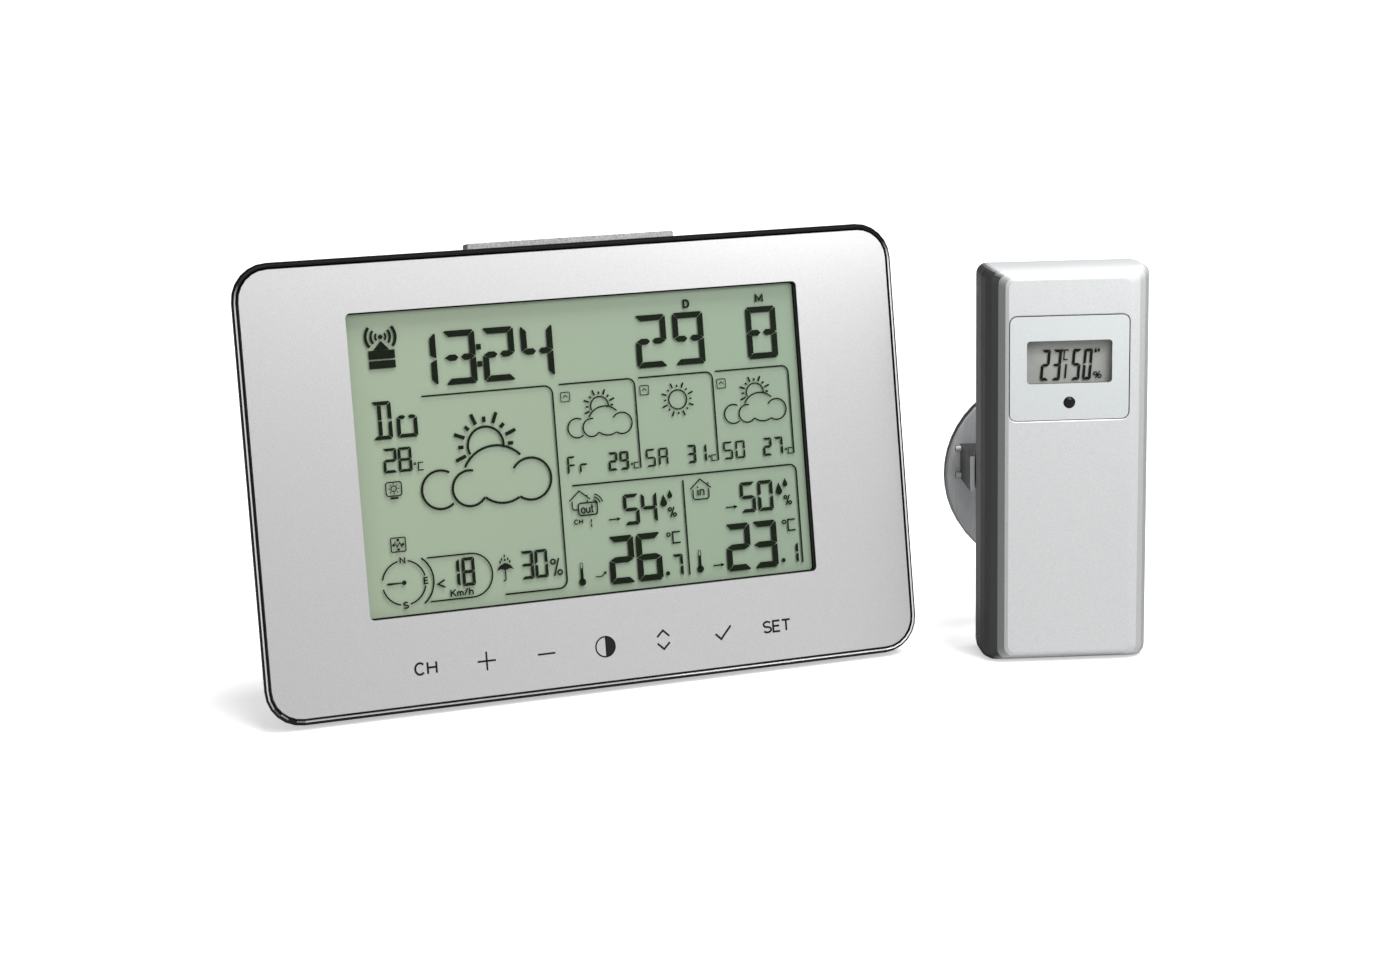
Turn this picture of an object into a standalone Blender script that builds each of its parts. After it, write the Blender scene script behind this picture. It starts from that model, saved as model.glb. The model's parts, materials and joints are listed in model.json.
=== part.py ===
"""Home weather station: a display station leaning on its fold-out stand, and a wireless outdoor sensor
that stands beside it with its round wall bracket clipped to its back.

Metres, +Z up, front towards -Y. The origin is the middle of the rubber foot strip under the station.
The station is modelled upright in its own axes (x right, y back from the front panel's face, z up from
the frame's bottom edge) under an empty that leans it back. The sensor is modelled the same way under an
empty that turns it about Z.
"""

import math

import bmesh
import bpy

# Driving dimensions.
GAP = 0.0003
CORNER_STEPS = 6

LEAN = math.radians(9.0)
FRAME_LIFT = 0.001
FRAME_WIDTH = 0.2147
FRAME_LOW = 0.0006
FRAME_HIGH = 0.1394
FRAME_RADIUS = 0.0114
FRAME_DEPTH = 0.0043
FRAME_TAPER = 0.0012
BEAD_WIDTH = 0.0018
PANEL_THICKNESS = 0.001
PANEL_BACK = PANEL_THICKNESS + GAP
LCD_FRONT = 0.0023
LCD_BACK = 0.0041

WINDOW_HALF = 0.0735
WINDOW_LOW = 0.0297
WINDOW_HIGH = 0.1226
WINDOW_RADIUS = 0.0015
WINDOW_MIDDLE = (WINDOW_LOW + WINDOW_HIGH) / 2
KEY_ROW_HEIGHT = 0.0135
KEY_PITCH = 0.0193
KEY_COUNT = 7

HOUSING_FRONT = FRAME_DEPTH + GAP
HOUSING_DEPTH = 0.028
WALL = 0.002
BOARD_FRONT = 0.0086
BOARD_THICKNESS = 0.0014

CELL_LENGTH = 0.0505
CELL_RADIUS = 0.0071
CELL_PITCH = 0.0152
CELL_DEPTH = 0.0187
BAY_MIDDLE = 0.094
BAY_HALF = 0.0298
BAY_LOW = 0.070
BAY_HIGH = 0.118
BAY_FLOOR = 0.0113
DOOR_THICKNESS = 0.0016

SCREW_X = 0.086
SCREW_HEIGHTS = (0.022, 0.123)

BAR_MIDDLE = 0.0013
BAR_HALF = 0.0337
BAR_TOP = 0.1412
BAR_FRONT = FRAME_DEPTH + 0.0004
BAR_BACK = 0.0097
BAR_LIP_BACK = 0.0136

FOOT_HALF = 0.045
FOOT_FRONT = 0.008
FOOT_BACK = 0.016

STAND_OPEN = math.radians(23.7)
STAND_PIVOT_DEPTH = 0.0252
STAND_PIVOT_HEIGHT = 0.060
STAND_HALF = 0.0294
STAND_THICKNESS = 0.003
STAND_PAD_HEIGHT = 0.004

SENSOR_X = 0.146
SENSOR_Y = -0.041
SENSOR_TURN = math.radians(-18.0)
SENSOR_HALF = 0.0268
SENSOR_HEIGHT = 0.127
SENSOR_SPLIT = 0.0164
SENSOR_DEPTH = 0.0235
SENSOR_WALL = 0.0018
PLATE_HALF = 0.01885
PLATE_LOW = 0.079
PLATE_HIGH = 0.112
PLATE_RADIUS = 0.0022
PLATE_THICKNESS = 0.0012
SENSOR_WINDOW_HALF = 0.0135
SENSOR_WINDOW_LOW = 0.0906
SENSOR_WINDOW_HIGH = 0.1042
LED_HEIGHT = 0.0845
LED_RADIUS = 0.0016
SENSOR_LCD_FRONT = 0.0034
SENSOR_LCD_BACK = 0.0046
SENSOR_BOARD_FRONT = 0.0070

SENSOR_CELL_X = 0.0077
SENSOR_CELL_DEPTH = 0.0140
SENSOR_CELL_LOW = 0.0125

DISC_RADIUS = 0.032
DISC_HEIGHT = 0.0515
DISC_FRONT = 0.049
DISC_THICKNESS = 0.005
ARM_LOW = 0.051
ARM_HIGH = 0.0626
YOKE_HEIGHT = (ARM_LOW + ARM_HIGH) / 2


def clear_scene():
    for thing in list(bpy.data.objects):
        bpy.data.objects.remove(thing, do_unlink=True)


def look(name, colour, roughness, metallic=0.0):
    """A plain Principled material."""
    made = bpy.data.materials.new(name)
    made.use_nodes = True
    shader = made.node_tree.nodes["Principled BSDF"]
    shader.inputs["Base Color"].default_value = (*colour, 1.0)
    shader.inputs["Roughness"].default_value = roughness
    shader.inputs["Metallic"].default_value = metallic
    return made


def empty(name, place, turn, parent=None):
    made = bpy.data.objects.new(name, None)
    made.location = place
    made.rotation_euler = turn
    made.parent = parent
    bpy.context.scene.collection.objects.link(made)
    return made


def finish(name, bm, parent, finish_look=None):
    """Turn a bmesh into an object. Without a look it is a cutter or a tool, which isn't a piece."""
    bmesh.ops.recalc_face_normals(bm, faces=bm.faces)
    mesh = bpy.data.meshes.new(name)
    bm.to_mesh(mesh)
    bm.free()
    made = bpy.data.objects.new(name, mesh)
    made.parent = parent
    bpy.context.scene.collection.objects.link(made)
    if finish_look is None:
        made.hide_render = True
        made.display_type = "WIRE"
    else:
        mesh.materials.append(finish_look)
        mesh.shade_smooth()
        mesh.set_sharp_from_angle(angle=math.radians(35.0))
    return made


def rows_of(bm, loops):
    return [[bm.verts.new(point) for point in loop] for loop in loops]


def join_rows(bm, rows):
    for low, high in zip(rows, rows[1:]):
        for here in range(len(low)):
            after = (here + 1) % len(low)
            bm.faces.new((low[here], low[after], high[after], high[here]))


def solid(name, loops, parent, finish_look=None):
    """A closed body through the loops, capped at both ends."""
    bm = bmesh.new()
    rows = rows_of(bm, loops)
    join_rows(bm, rows)
    bm.faces.new(rows[0])
    bm.faces.new(rows[-1])
    return finish(name, bm, parent, finish_look)


def ring(name, loops, parent, finish_look=None):
    """A closed ring whose section runs through the loops and back to the first one."""
    bm = bmesh.new()
    rows = rows_of(bm, loops)
    join_rows(bm, rows + rows[:1])
    return finish(name, bm, parent, finish_look)


def cup(name, outer, inner, parent, finish_look):
    """A thin-walled tray. The outer and the inner loops both run from the rim to the floor."""
    bm = bmesh.new()
    outside = rows_of(bm, outer)
    inside = rows_of(bm, inner)
    join_rows(bm, outside)
    join_rows(bm, inside)
    join_rows(bm, [outside[0], inside[0]])
    bm.faces.new(outside[-1])
    bm.faces.new(inside[-1])
    return finish(name, bm, parent, finish_look)


def outline(left, right, low, high, radius, depth):
    """A rounded rectangle in the XZ plane at the given depth."""
    corners = ((right, high, 0.0), (left, high, 90.0), (left, low, 180.0), (right, low, 270.0))
    points = []
    for x, z, start in corners:
        centre_x = x - math.copysign(radius, x - (left + right) / 2)
        centre_z = z - math.copysign(radius, z - (low + high) / 2)
        for step in range(CORNER_STEPS + 1):
            angle = math.radians(start + 90.0 * step / CORNER_STEPS)
            points.append((centre_x + radius * math.cos(angle), depth, centre_z + radius * math.sin(angle)))
    return points


def slab(name, left, right, low, high, radius, front, back, parent, finish_look=None):
    """A flat piece with rounded corners between two depths."""
    loops = [outline(left, right, low, high, radius, depth) for depth in (front, back)]
    return solid(name, loops, parent, finish_look)


def box(name, left, right, front, back, low, high, parent, finish_look=None):
    loops = [
        [(left, front, z), (right, front, z), (right, back, z), (left, back, z)]
        for z in (low, high)
    ]
    return solid(name, loops, parent, finish_look)


def circle(axis, centre, radius, along, steps):
    """Points of a circle round the named axis, moved along it from the centre."""
    x, y, z = centre
    points = []
    for step in range(steps):
        angle = math.tau * step / steps
        across = radius * math.cos(angle)
        up = radius * math.sin(angle)
        if axis == "X":
            points.append((x + along, y + across, z + up))
        elif axis == "Y":
            points.append((x + across, y + along, z + up))
        else:
            points.append((x + across, y + up, z + along))
    return points


def turned(name, axis, centre, profile, parent, finish_look=None, steps=24):
    """A turned body. The profile is a list of (radius, distance along the axis) with flat ends."""
    loops = [circle(axis, centre, radius, along, steps) for radius, along in profile]
    return solid(name, loops, parent, finish_look)


def rod(name, axis, centre, radius, start, end, parent, finish_look=None, steps=24):
    return turned(name, axis, centre, [(radius, start), (radius, end)], parent, finish_look, steps)


def boolean(target, tool, operation):
    modifier = target.modifiers.new(tool.name, "BOOLEAN")
    modifier.operation = operation
    modifier.object = tool
    modifier.solver = "EXACT"


def cut(target, tool):
    boolean(target, tool, "DIFFERENCE")


def join(target, tool):
    boolean(target, tool, "UNION")


def coil(name, axis, centre, length, radii, turns, wire, parent, finish_look):
    """A wire wound round the named axis, its radius changing evenly from the first to the second."""
    steps_per_turn = 12
    count = int(turns * steps_per_turn) + 1
    data = bpy.data.curves.new(name, "CURVE")
    data.dimensions = "3D"
    data.bevel_depth = wire
    data.bevel_resolution = 1
    data.use_fill_caps = True
    line = data.splines.new("POLY")
    line.points.add(count - 1)
    for step, point in enumerate(line.points):
        share = step / (count - 1)
        angle = math.tau * turns * share
        radius = radii[0] + (radii[1] - radii[0]) * share
        along = length * (share - 0.5)
        across = radius * math.cos(angle)
        up = radius * math.sin(angle)
        if axis == "X":
            place = (centre[0] + along, centre[1] + across, centre[2] + up)
        else:
            place = (centre[0] + across, centre[1] + up, centre[2] + along)
        point.co = (*place, 1.0)
    data.materials.append(finish_look)
    made = bpy.data.objects.new(name, data)
    made.parent = parent
    bpy.context.scene.collection.objects.link(made)
    return made


# The station's front: frame, panel and touch keys.


def frame_loop(inset, depth):
    half = FRAME_WIDTH / 2 - inset
    return outline(-half, half, FRAME_LOW + inset, FRAME_HIGH - inset, FRAME_RADIUS - inset, depth)


def make_front_frame(station, gloss_black):
    """A ring with a half-round bead, sides that taper back, and a wide flange behind the panel."""
    flange_side = 0.082
    flange_low = 0.007
    flange_high = 0.127
    flange_radius = 0.004
    loops = [
        frame_loop(FRAME_TAPER, FRAME_DEPTH),
        frame_loop(0.0, 0.0010),
        frame_loop(0.0002, 0.0003),
        frame_loop(0.0006, -0.0002),
        frame_loop(0.0010, -0.0004),
        frame_loop(0.0014, -0.0002),
        frame_loop(BEAD_WIDTH, 0.0003),
        frame_loop(BEAD_WIDTH, PANEL_BACK),
        outline(-flange_side, flange_side, flange_low, flange_high, flange_radius, PANEL_BACK),
        outline(-flange_side, flange_side, flange_low, flange_high, flange_radius, FRAME_DEPTH),
    ]
    frame = ring("front_frame", loops, station, gloss_black)
    for side in (-1, 1):
        for number, height in enumerate(SCREW_HEIGHTS):
            place = (side * SCREW_X, 0.0, height)
            tag = f"{'left' if side < 0 else 'right'}_{number}"
            join(frame, rod(f"frame_boss_{tag}", "Y", place, 0.003, 0.0035, 0.010, station, steps=16))
            cut(frame, rod(f"frame_pilot_{tag}", "Y", place, 0.0013, 0.0030, 0.012, station, steps=12))
    return frame


def make_front_panel(station, silver):
    """The silver face plate with the display window cut through it."""
    inset = BEAD_WIDTH + GAP
    half = FRAME_WIDTH / 2 - inset
    panel = slab(
        "front_panel", -half, half, FRAME_LOW + inset, FRAME_HIGH - inset,
        FRAME_RADIUS - inset, 0.0, PANEL_THICKNESS, station, silver,
    )
    cut(panel, slab(
        "window_cutter", -WINDOW_HALF, WINDOW_HALF, WINDOW_LOW, WINDOW_HIGH,
        WINDOW_RADIUS, -0.001, PANEL_THICKNESS + 0.001, station,
    ))
    return panel


def make_display_bezel(station, black):
    """A thin black ring between the panel and the display, level with the window's wall."""
    width = 0.0025
    back = LCD_FRONT - GAP
    loops = []
    for spread, depth in ((0.0, PANEL_BACK), (0.0, back), (width, back), (width, PANEL_BACK)):
        loops.append(outline(
            -WINDOW_HALF - spread, WINDOW_HALF + spread, WINDOW_LOW - spread, WINDOW_HIGH + spread,
            WINDOW_RADIUS, depth,
        ))
    return ring("display_bezel", loops, station, black)


def make_touch_board(station, green):
    """A strip of board behind the icons, with one raised electrode for each touch key."""
    reach = (KEY_COUNT - 1) / 2 * KEY_PITCH
    board = slab(
        "touch_board", -reach - 0.0085, reach + 0.0085, KEY_ROW_HEIGHT - 0.0058, KEY_ROW_HEIGHT + 0.0058,
        0.0015, 0.0030, 0.0040, station, green,
    )
    for key in range(KEY_COUNT):
        x = key * KEY_PITCH - reach
        join(board, rod(
            f"touch_pad_{key}", "Y", (x, 0.0, KEY_ROW_HEIGHT), 0.0045, PANEL_BACK, 0.0035, station, steps=16,
        ))
    return board


# The display stack and the boards behind it.


def make_lcd_stack(station, looks):
    slab(
        "lcd_glass", -0.076, 0.076, WINDOW_MIDDLE - 0.049, WINDOW_MIDDLE + 0.049, 0.001,
        LCD_FRONT, LCD_BACK, station, looks["lcd"],
    )
    holder_front = FRAME_DEPTH + GAP
    holder_back = BOARD_FRONT - GAP
    loops = []
    for half, tall, depth in (
        (0.080, 0.053, holder_front), (0.080, 0.053, holder_back),
        (0.075, 0.048, holder_back), (0.075, 0.048, holder_front),
    ):
        loops.append(outline(-half, half, WINDOW_MIDDLE - tall, WINDOW_MIDDLE + tall, 0.002, depth))
    ring("lcd_holder", loops, station, looks["white_plastic"])
    slab(
        "backlight_guide", -0.0745, 0.0745, 0.0312, WINDOW_MIDDLE + 0.0475, 0.001,
        0.0046, 0.0076, station, looks["clear"],
    )
    box(
        "zebra_connector", -0.065, 0.065, LCD_BACK + GAP, BOARD_FRONT - GAP, 0.0284, 0.0306,
        station, looks["rubber"],
    )


def make_boards(station, looks):
    board_back = BOARD_FRONT + BOARD_THICKNESS
    slab(
        "main_board", -0.078, 0.078, 0.024, 0.1285, 0.002, BOARD_FRONT, board_back, station, looks["green"],
    )
    switch = box(
        "snooze_switch", -0.003, 0.003, board_back + GAP, 0.0136, 0.1225, 0.1275, station, looks["black"],
    )
    join(switch, rod("switch_plunger", "Z", (0.0, 0.0120, 0.0), 0.0011, 0.1265, 0.1293, station, steps=16))
    ferrite = (-0.062, 0.0154, 0.050)
    rod("ferrite_rod", "X", ferrite, 0.0035, -0.024, 0.024, station, looks["ferrite"])
    ring(
        "antenna_coil",
        [circle("X", ferrite, radius, along, 24) for radius, along in (
            (0.0048, -0.009), (0.0048, 0.009), (0.0038, 0.009), (0.0038, -0.009),
        )],
        station, looks["copper"],
    )
    slab("receiver_board", 0.044, 0.074, 0.040, 0.060, 0.001, 0.0130, 0.0142, station, looks["green"])
    turned(
        "buzzer", "Y", (0.060, 0.0, BAY_MIDDLE), [(0.010, 0.0222), (0.010, 0.0248), (0.0085, 0.0257)],
        station, looks["black"],
    )
    slab(
        "indoor_probe", -0.094, -0.088, 0.069, 0.079, 0.0006, 0.0120, 0.0145,
        station, looks["white_plastic"],
    )


# The rear housing and what it holds.


def housing_loop(inset, depth, half, low, high, radius):
    return outline(inset - half, half - inset, low + inset, high - inset, radius - inset / 2, depth)


def make_rear_housing(station, black):
    """A dished shell with a pocket for the cells, a recess for the stand, and screw posts."""
    sections = (
        (HOUSING_FRONT, 0.1030, 0.0050, 0.1380, 0.009),
        (0.0160, 0.1015, 0.0060, 0.1376, 0.009),
        (0.0220, 0.0990, 0.0080, 0.1362, 0.009),
        (0.0260, 0.0950, 0.0115, 0.1335, 0.008),
        (HOUSING_DEPTH, 0.0905, 0.0160, 0.1290, 0.007),
    )
    outer = [housing_loop(0.0, *section) for section in sections]
    inner = [housing_loop(WALL, *section) for section in sections[:-1]]
    housing = cup("rear_housing", outer, inner, station, black)

    join(housing, box(
        "bay_block", -BAY_HALF - WALL, BAY_HALF + WALL, BAY_FLOOR - 0.001, HOUSING_DEPTH - 0.001,
        BAY_LOW - WALL, BAY_HIGH + WALL, station,
    ))
    recess_profile = [
        (0.0203, 0.0086), (0.0240, 0.0108), (0.0260, 0.0130),
        (0.0270, 0.0153), (0.0270, 0.0655), (0.0203, 0.0655),
    ]
    join(housing, prism("recess_block", recess_profile, 0.0335, station))
    for side in (-1, 1):
        for number, height in enumerate(SCREW_HEIGHTS):
            place = (side * SCREW_X, 0.0, height)
            tag = f"{'left' if side < 0 else 'right'}_{number}"
            join(housing, rod(f"post_{tag}", "Y", place, 0.0040, 0.0103, 0.0270, station, steps=16))
            cut(housing, rod(f"post_hole_{tag}", "Y", place, 0.0013, 0.0090, 0.0300, station, steps=12))
            cut(housing, rod(f"counterbore_{tag}", "Y", place, 0.0028, 0.0123, 0.0310, station, steps=16))
    cut(housing, box(
        "bay_cutter", -BAY_HALF, BAY_HALF, BAY_FLOOR, HOUSING_DEPTH + 0.002, BAY_LOW, BAY_HIGH, station,
    ))
    cut(housing, box("recess_cutter", -0.030, 0.030, 0.0220, HOUSING_DEPTH + 0.002, 0.0, 0.0635, station))
    stand_pivot = (0.0, STAND_PIVOT_DEPTH, STAND_PIVOT_HEIGHT)
    cut(housing, rod("hinge_hole", "X", stand_pivot, 0.0015, -0.0325, 0.0325, station, steps=16))
    slot_half = BAR_HALF + 0.0004
    cut(housing, box(
        "bar_slot", BAR_MIDDLE - slot_half, BAR_MIDDLE + slot_half, 0.0, BAR_BACK + 0.0005,
        0.135, 0.143, station,
    ))
    cut(housing, rod("reset_hole", "Y", (-0.060, 0.0, BAY_MIDDLE), 0.0024, 0.024, 0.030, station, steps=16))
    for number in range(5):
        low = 0.0640 + 0.005 * number
        cut(housing, box(f"vent_{number}", -0.104, -0.096, 0.0100, 0.0160, low, low + 0.0018, station))
    for number in range(7):
        angle = math.tau * number / 6
        reach = 0.0 if number == 6 else 0.005
        place = (0.060 + reach * math.cos(angle), 0.0, BAY_MIDDLE + reach * math.sin(angle))
        cut(housing, rod(f"sound_hole_{number}", "Y", place, 0.0009, 0.0250, 0.0300, station, steps=10))
    return housing


def make_housing_screws(station, steel):
    for side in (-1, 1):
        for number, height in enumerate(SCREW_HEIGHTS):
            name = f"housing_screw_{'left' if side < 0 else 'right'}_{'low' if number == 0 else 'high'}"
            screw = turned(
                name, "Y", (side * SCREW_X, 0.0, height),
                [
                    (0.0007, 0.0055), (0.0010, 0.0065), (0.0010, 0.0126),
                    (0.0024, 0.0126), (0.0024, 0.0134), (0.0016, 0.0144),
                ],
                station, steel, steps=16,
            )
            for turn, half_x, half_z in (("a", 0.0013, 0.0003), ("b", 0.0003, 0.0013)):
                cut(screw, box(
                    f"{name}_slot_{turn}", side * SCREW_X - half_x, side * SCREW_X + half_x, 0.0135, 0.0160,
                    height - half_z, height + half_z, station,
                ))


def make_cells(station, looks):
    """Three cells lying side by side, the middle one turned round, each between a spring and a plate."""
    for number in range(3):
        way = -1 if number == 1 else 1
        height = BAY_MIDDLE + (number - 1) * CELL_PITCH
        centre = (way * 0.00165, CELL_DEPTH, height)
        half = CELL_LENGTH / 2
        profile = [
            (0.0055, -half), (CELL_RADIUS, 0.0006 - half), (CELL_RADIUS, half - 0.0020),
            (0.0060, half - 0.0012), (0.0028, half - 0.0012), (0.0026, half),
        ]
        turned(
            f"battery_{number + 1}", "X", centre, [(radius, way * along) for radius, along in profile],
            station, looks["cell"],
        )
        spring_x = centre[0] - way * (half + 0.0026)
        coil(
            f"battery_spring_{number + 1}", "X", (spring_x, CELL_DEPTH, height), -way * 0.0034,
            (0.0024, 0.0045), 3.5, 0.0003, station, looks["steel"],
        )
        plate_x = centre[0] + way * (half + 0.0008)
        slab_half = 0.0050
        box(
            f"battery_plate_{number + 1}", plate_x - 0.00025, plate_x + 0.00025,
            CELL_DEPTH - slab_half, CELL_DEPTH + slab_half, height - slab_half, height + slab_half,
            station, looks["steel"],
        )


def make_battery_door(station, black):
    """A flush lid that hooks in along its lower edge, with a finger notch at the top."""
    half = BAY_HALF - GAP
    low = BAY_LOW + GAP
    high = BAY_HIGH - GAP
    front = HOUSING_DEPTH - DOOR_THICKNESS
    hinge = empty("battery_door_hinge", (0.0, HOUSING_DEPTH, low), (0.0, 0.0, 0.0), station)
    door = slab(
        "battery_door", -half, half, 0.0, high - low, 0.0004, front - HOUSING_DEPTH, 0.0, hinge, black,
    )
    cut(door, rod("finger_notch", "Y", (0.0, 0.0, high - low + 0.0015), 0.0065, -0.0009, 0.001, hinge))
    for number in range(3):
        cut(door, box(
            f"grip_{number}", -0.010, 0.010, -0.0006, 0.001,
            0.0330 + 0.0025 * number, 0.0340 + 0.0025 * number, hinge,
        ))


def make_snooze_bar(station, silver):
    """A long light-guide key: a bar through the top slot with a wider lip that keeps it in."""
    bar = slab(
        "snooze_bar", BAR_MIDDLE - BAR_HALF, BAR_MIDDLE + BAR_HALF, 0.1320, BAR_TOP, 0.0008,
        BAR_FRONT, BAR_BACK, station, silver,
    )
    lip_half = BAR_HALF + 0.002
    join(bar, box(
        "bar_lip", BAR_MIDDLE - lip_half, BAR_MIDDLE + lip_half, BAR_FRONT + 0.0009, BAR_LIP_BACK,
        0.1312, 0.1330, station,
    ))
    return bar


def make_reset_key(station, black):
    turned(
        "reset_key", "Y", (-0.060, 0.0, BAY_MIDDLE),
        [(0.0032, 0.0235), (0.0032, 0.0250), (0.0020, 0.0250), (0.0020, 0.0280), (0.0017, 0.0283)],
        station, black, steps=20,
    )


# Feet and stand.


def floor_height(depth):
    """Height in the leaning station's axes of the surface that it stands on."""
    return (depth * math.sin(LEAN) - FRAME_LIFT) / math.cos(LEAN)


def prism(name, side_profile, half, parent, finish_look=None):
    """A profile in (depth, height), drawn out to both sides of the middle."""
    loops = [[(x, depth, height) for depth, height in side_profile] for x in (-half, half)]
    return solid(name, loops, parent, finish_look)


def make_front_foot(station, rubber):
    profile = [
        (FOOT_FRONT, floor_height(FOOT_FRONT)), (FOOT_BACK, floor_height(FOOT_BACK)),
        (FOOT_BACK, 0.0056), (FOOT_FRONT, 0.0049),
    ]
    prism("front_foot", profile, FOOT_HALF, station, rubber)


def make_stand(station, looks):
    """An easel leg on a steel pin, with a rubber pad on the edge that it stands on."""
    pivot = empty(
        "stand_pivot", (0.0, STAND_PIVOT_DEPTH, STAND_PIVOT_HEIGHT), (STAND_OPEN, 0.0, 0.0), station,
    )
    turn = STAND_OPEN - LEAN
    pivot_height = (
        FRAME_LIFT + STAND_PIVOT_HEIGHT * math.cos(LEAN) - STAND_PIVOT_DEPTH * math.sin(LEAN)
    )

    def ground(depth):
        return -(pivot_height + depth * math.sin(turn)) / math.cos(turn)

    half = STAND_THICKNESS / 2
    tip = ground(0.0) + STAND_PAD_HEIGHT
    stand = slab("stand", -STAND_HALF, STAND_HALF, tip, 0.0, 0.0014, -half, half, pivot, looks["black"])
    on_pin = (0.0, 0.0, 0.0)
    knuckle_half = STAND_HALF - 0.0002
    join(stand, rod("stand_knuckle", "X", on_pin, 0.0025, -knuckle_half, knuckle_half, pivot, steps=20))
    cut(stand, rod("stand_bore", "X", on_pin, 0.0015, -0.04, 0.04, pivot, steps=16))
    for side in (-1, 1):
        cut(stand, box(
            f"stand_groove_{side}", side * 0.018 - 0.006, side * 0.018 + 0.006, half - 0.0008, half + 0.001,
            tip + 0.006, tip + 0.040, pivot,
        ))
    profile = [
        (-half, ground(-half)), (half, ground(half)), (half, tip - GAP), (-half, tip - GAP),
    ]
    prism("stand_pad", profile, STAND_HALF - 0.004, pivot, looks["rubber"])
    rod(
        "stand_hinge_pin", "X", (0.0, STAND_PIVOT_DEPTH, STAND_PIVOT_HEIGHT), 0.0012, -0.032, 0.032,
        station, looks["steel"], steps=16,
    )


# The outdoor sensor.


def sensor_loop(inset, depth, half, low, high, radius):
    return outline(inset - half, half - inset, low + inset, high - inset, max(radius - inset, 0.0008), depth)


def make_sensor_front(sensor, silver):
    """The front shell: soft long edges, a seat for the face plate, a display opening and vents."""
    sections = (
        (SENSOR_SPLIT, SENSOR_HALF, 0.0, SENSOR_HEIGHT, 0.0035),
        (0.0085, SENSOR_HALF - 0.0001, 0.0, SENSOR_HEIGHT, 0.0035),
        (0.0050, SENSOR_HALF - 0.0009, 0.0003, SENSOR_HEIGHT - 0.0003, 0.0034),
        (0.0027, SENSOR_HALF - 0.0024, 0.0009, SENSOR_HEIGHT - 0.0009, 0.0032),
        (0.0011, SENSOR_HALF - 0.0044, 0.0017, SENSOR_HEIGHT - 0.0017, 0.0030),
        (0.0002, SENSOR_HALF - 0.0065, 0.0027, SENSOR_HEIGHT - 0.0027, 0.0028),
        (0.0, PLATE_HALF + 0.00035, 0.0035, SENSOR_HEIGHT - 0.0035, 0.0026),
    )
    outer = [sensor_loop(0.0, *section) for section in sections]
    inner = [sensor_loop(SENSOR_WALL, *section) for section in sections[:4]]
    shell = cup("sensor_front_shell", outer, inner, sensor, silver)
    seat = PLATE_HALF + GAP
    cut(shell, slab(
        "plate_seat", -seat, seat, PLATE_LOW - GAP, PLATE_HIGH + GAP, PLATE_RADIUS + GAP,
        -0.001, PLATE_THICKNESS + GAP, sensor,
    ))
    cut(shell, box(
        "display_opening", -SENSOR_WINDOW_HALF - 0.001, SENSOR_WINDOW_HALF + 0.001, 0.0, 0.004,
        SENSOR_WINDOW_LOW - 0.001, SENSOR_WINDOW_HIGH + 0.001, sensor,
    ))
    cut(shell, rod("led_opening", "Y", (0.0, 0.0, LED_HEIGHT), 0.0021, 0.0, 0.004, sensor, steps=16))
    for number in range(3):
        x = (number - 1) * 0.004
        cut(shell, box(f"front_vent_{number}", x - 0.0011, x + 0.0011, 0.0030, 0.0062, -0.001, 0.003, sensor))
    for number, height in enumerate((0.0065, 0.1185)):
        cut(shell, box(
            f"pry_notch_{number}", -SENSOR_HALF - 0.001, -SENSOR_HALF + 0.0007,
            SENSOR_SPLIT - 0.0018, SENSOR_SPLIT + 0.001,
            height - 0.0015, height + 0.0015, sensor,
        ))


def make_sensor_back(sensor, silver):
    """The back cover, which pulls off for the cells, with notches for the bracket's hooks."""
    start = SENSOR_SPLIT + GAP
    sections = (
        (start, SENSOR_HALF - 0.0003, 0.0002, SENSOR_HEIGHT - 0.0002, 0.0034),
        (0.0210, SENSOR_HALF - 0.0005, 0.0003, SENSOR_HEIGHT - 0.0003, 0.0034),
        (0.0228, SENSOR_HALF - 0.0012, 0.0010, SENSOR_HEIGHT - 0.0010, 0.0032),
        (SENSOR_DEPTH, SENSOR_HALF - 0.0023, 0.0021, SENSOR_HEIGHT - 0.0021, 0.0028),
    )
    outer = [sensor_loop(0.0, *section) for section in sections]
    inner = [
        sensor_loop(SENSOR_WALL, *sections[0]),
        sensor_loop(SENSOR_WALL, *sections[1]),
        sensor_loop(SENSOR_WALL, SENSOR_DEPTH - SENSOR_WALL, *sections[2][1:]),
    ]
    cover = cup("sensor_back_cover", outer, inner, sensor, silver)
    for side in (-1, 1):
        near, far = sorted((side * 0.0214, side * (SENSOR_HALF + 0.001)))
        cut(cover, box(
            f"hook_notch_{side}", near, far, 0.0202, 0.0250, ARM_LOW - 0.0004, ARM_HIGH + 0.0004, sensor,
        ))
    for number in range(6):
        low = 0.088 + 0.004 * number
        cut(cover, box(f"back_vent_{number}", -0.009, 0.009, 0.0215, 0.0250, low, low + 0.0014, sensor))


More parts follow.
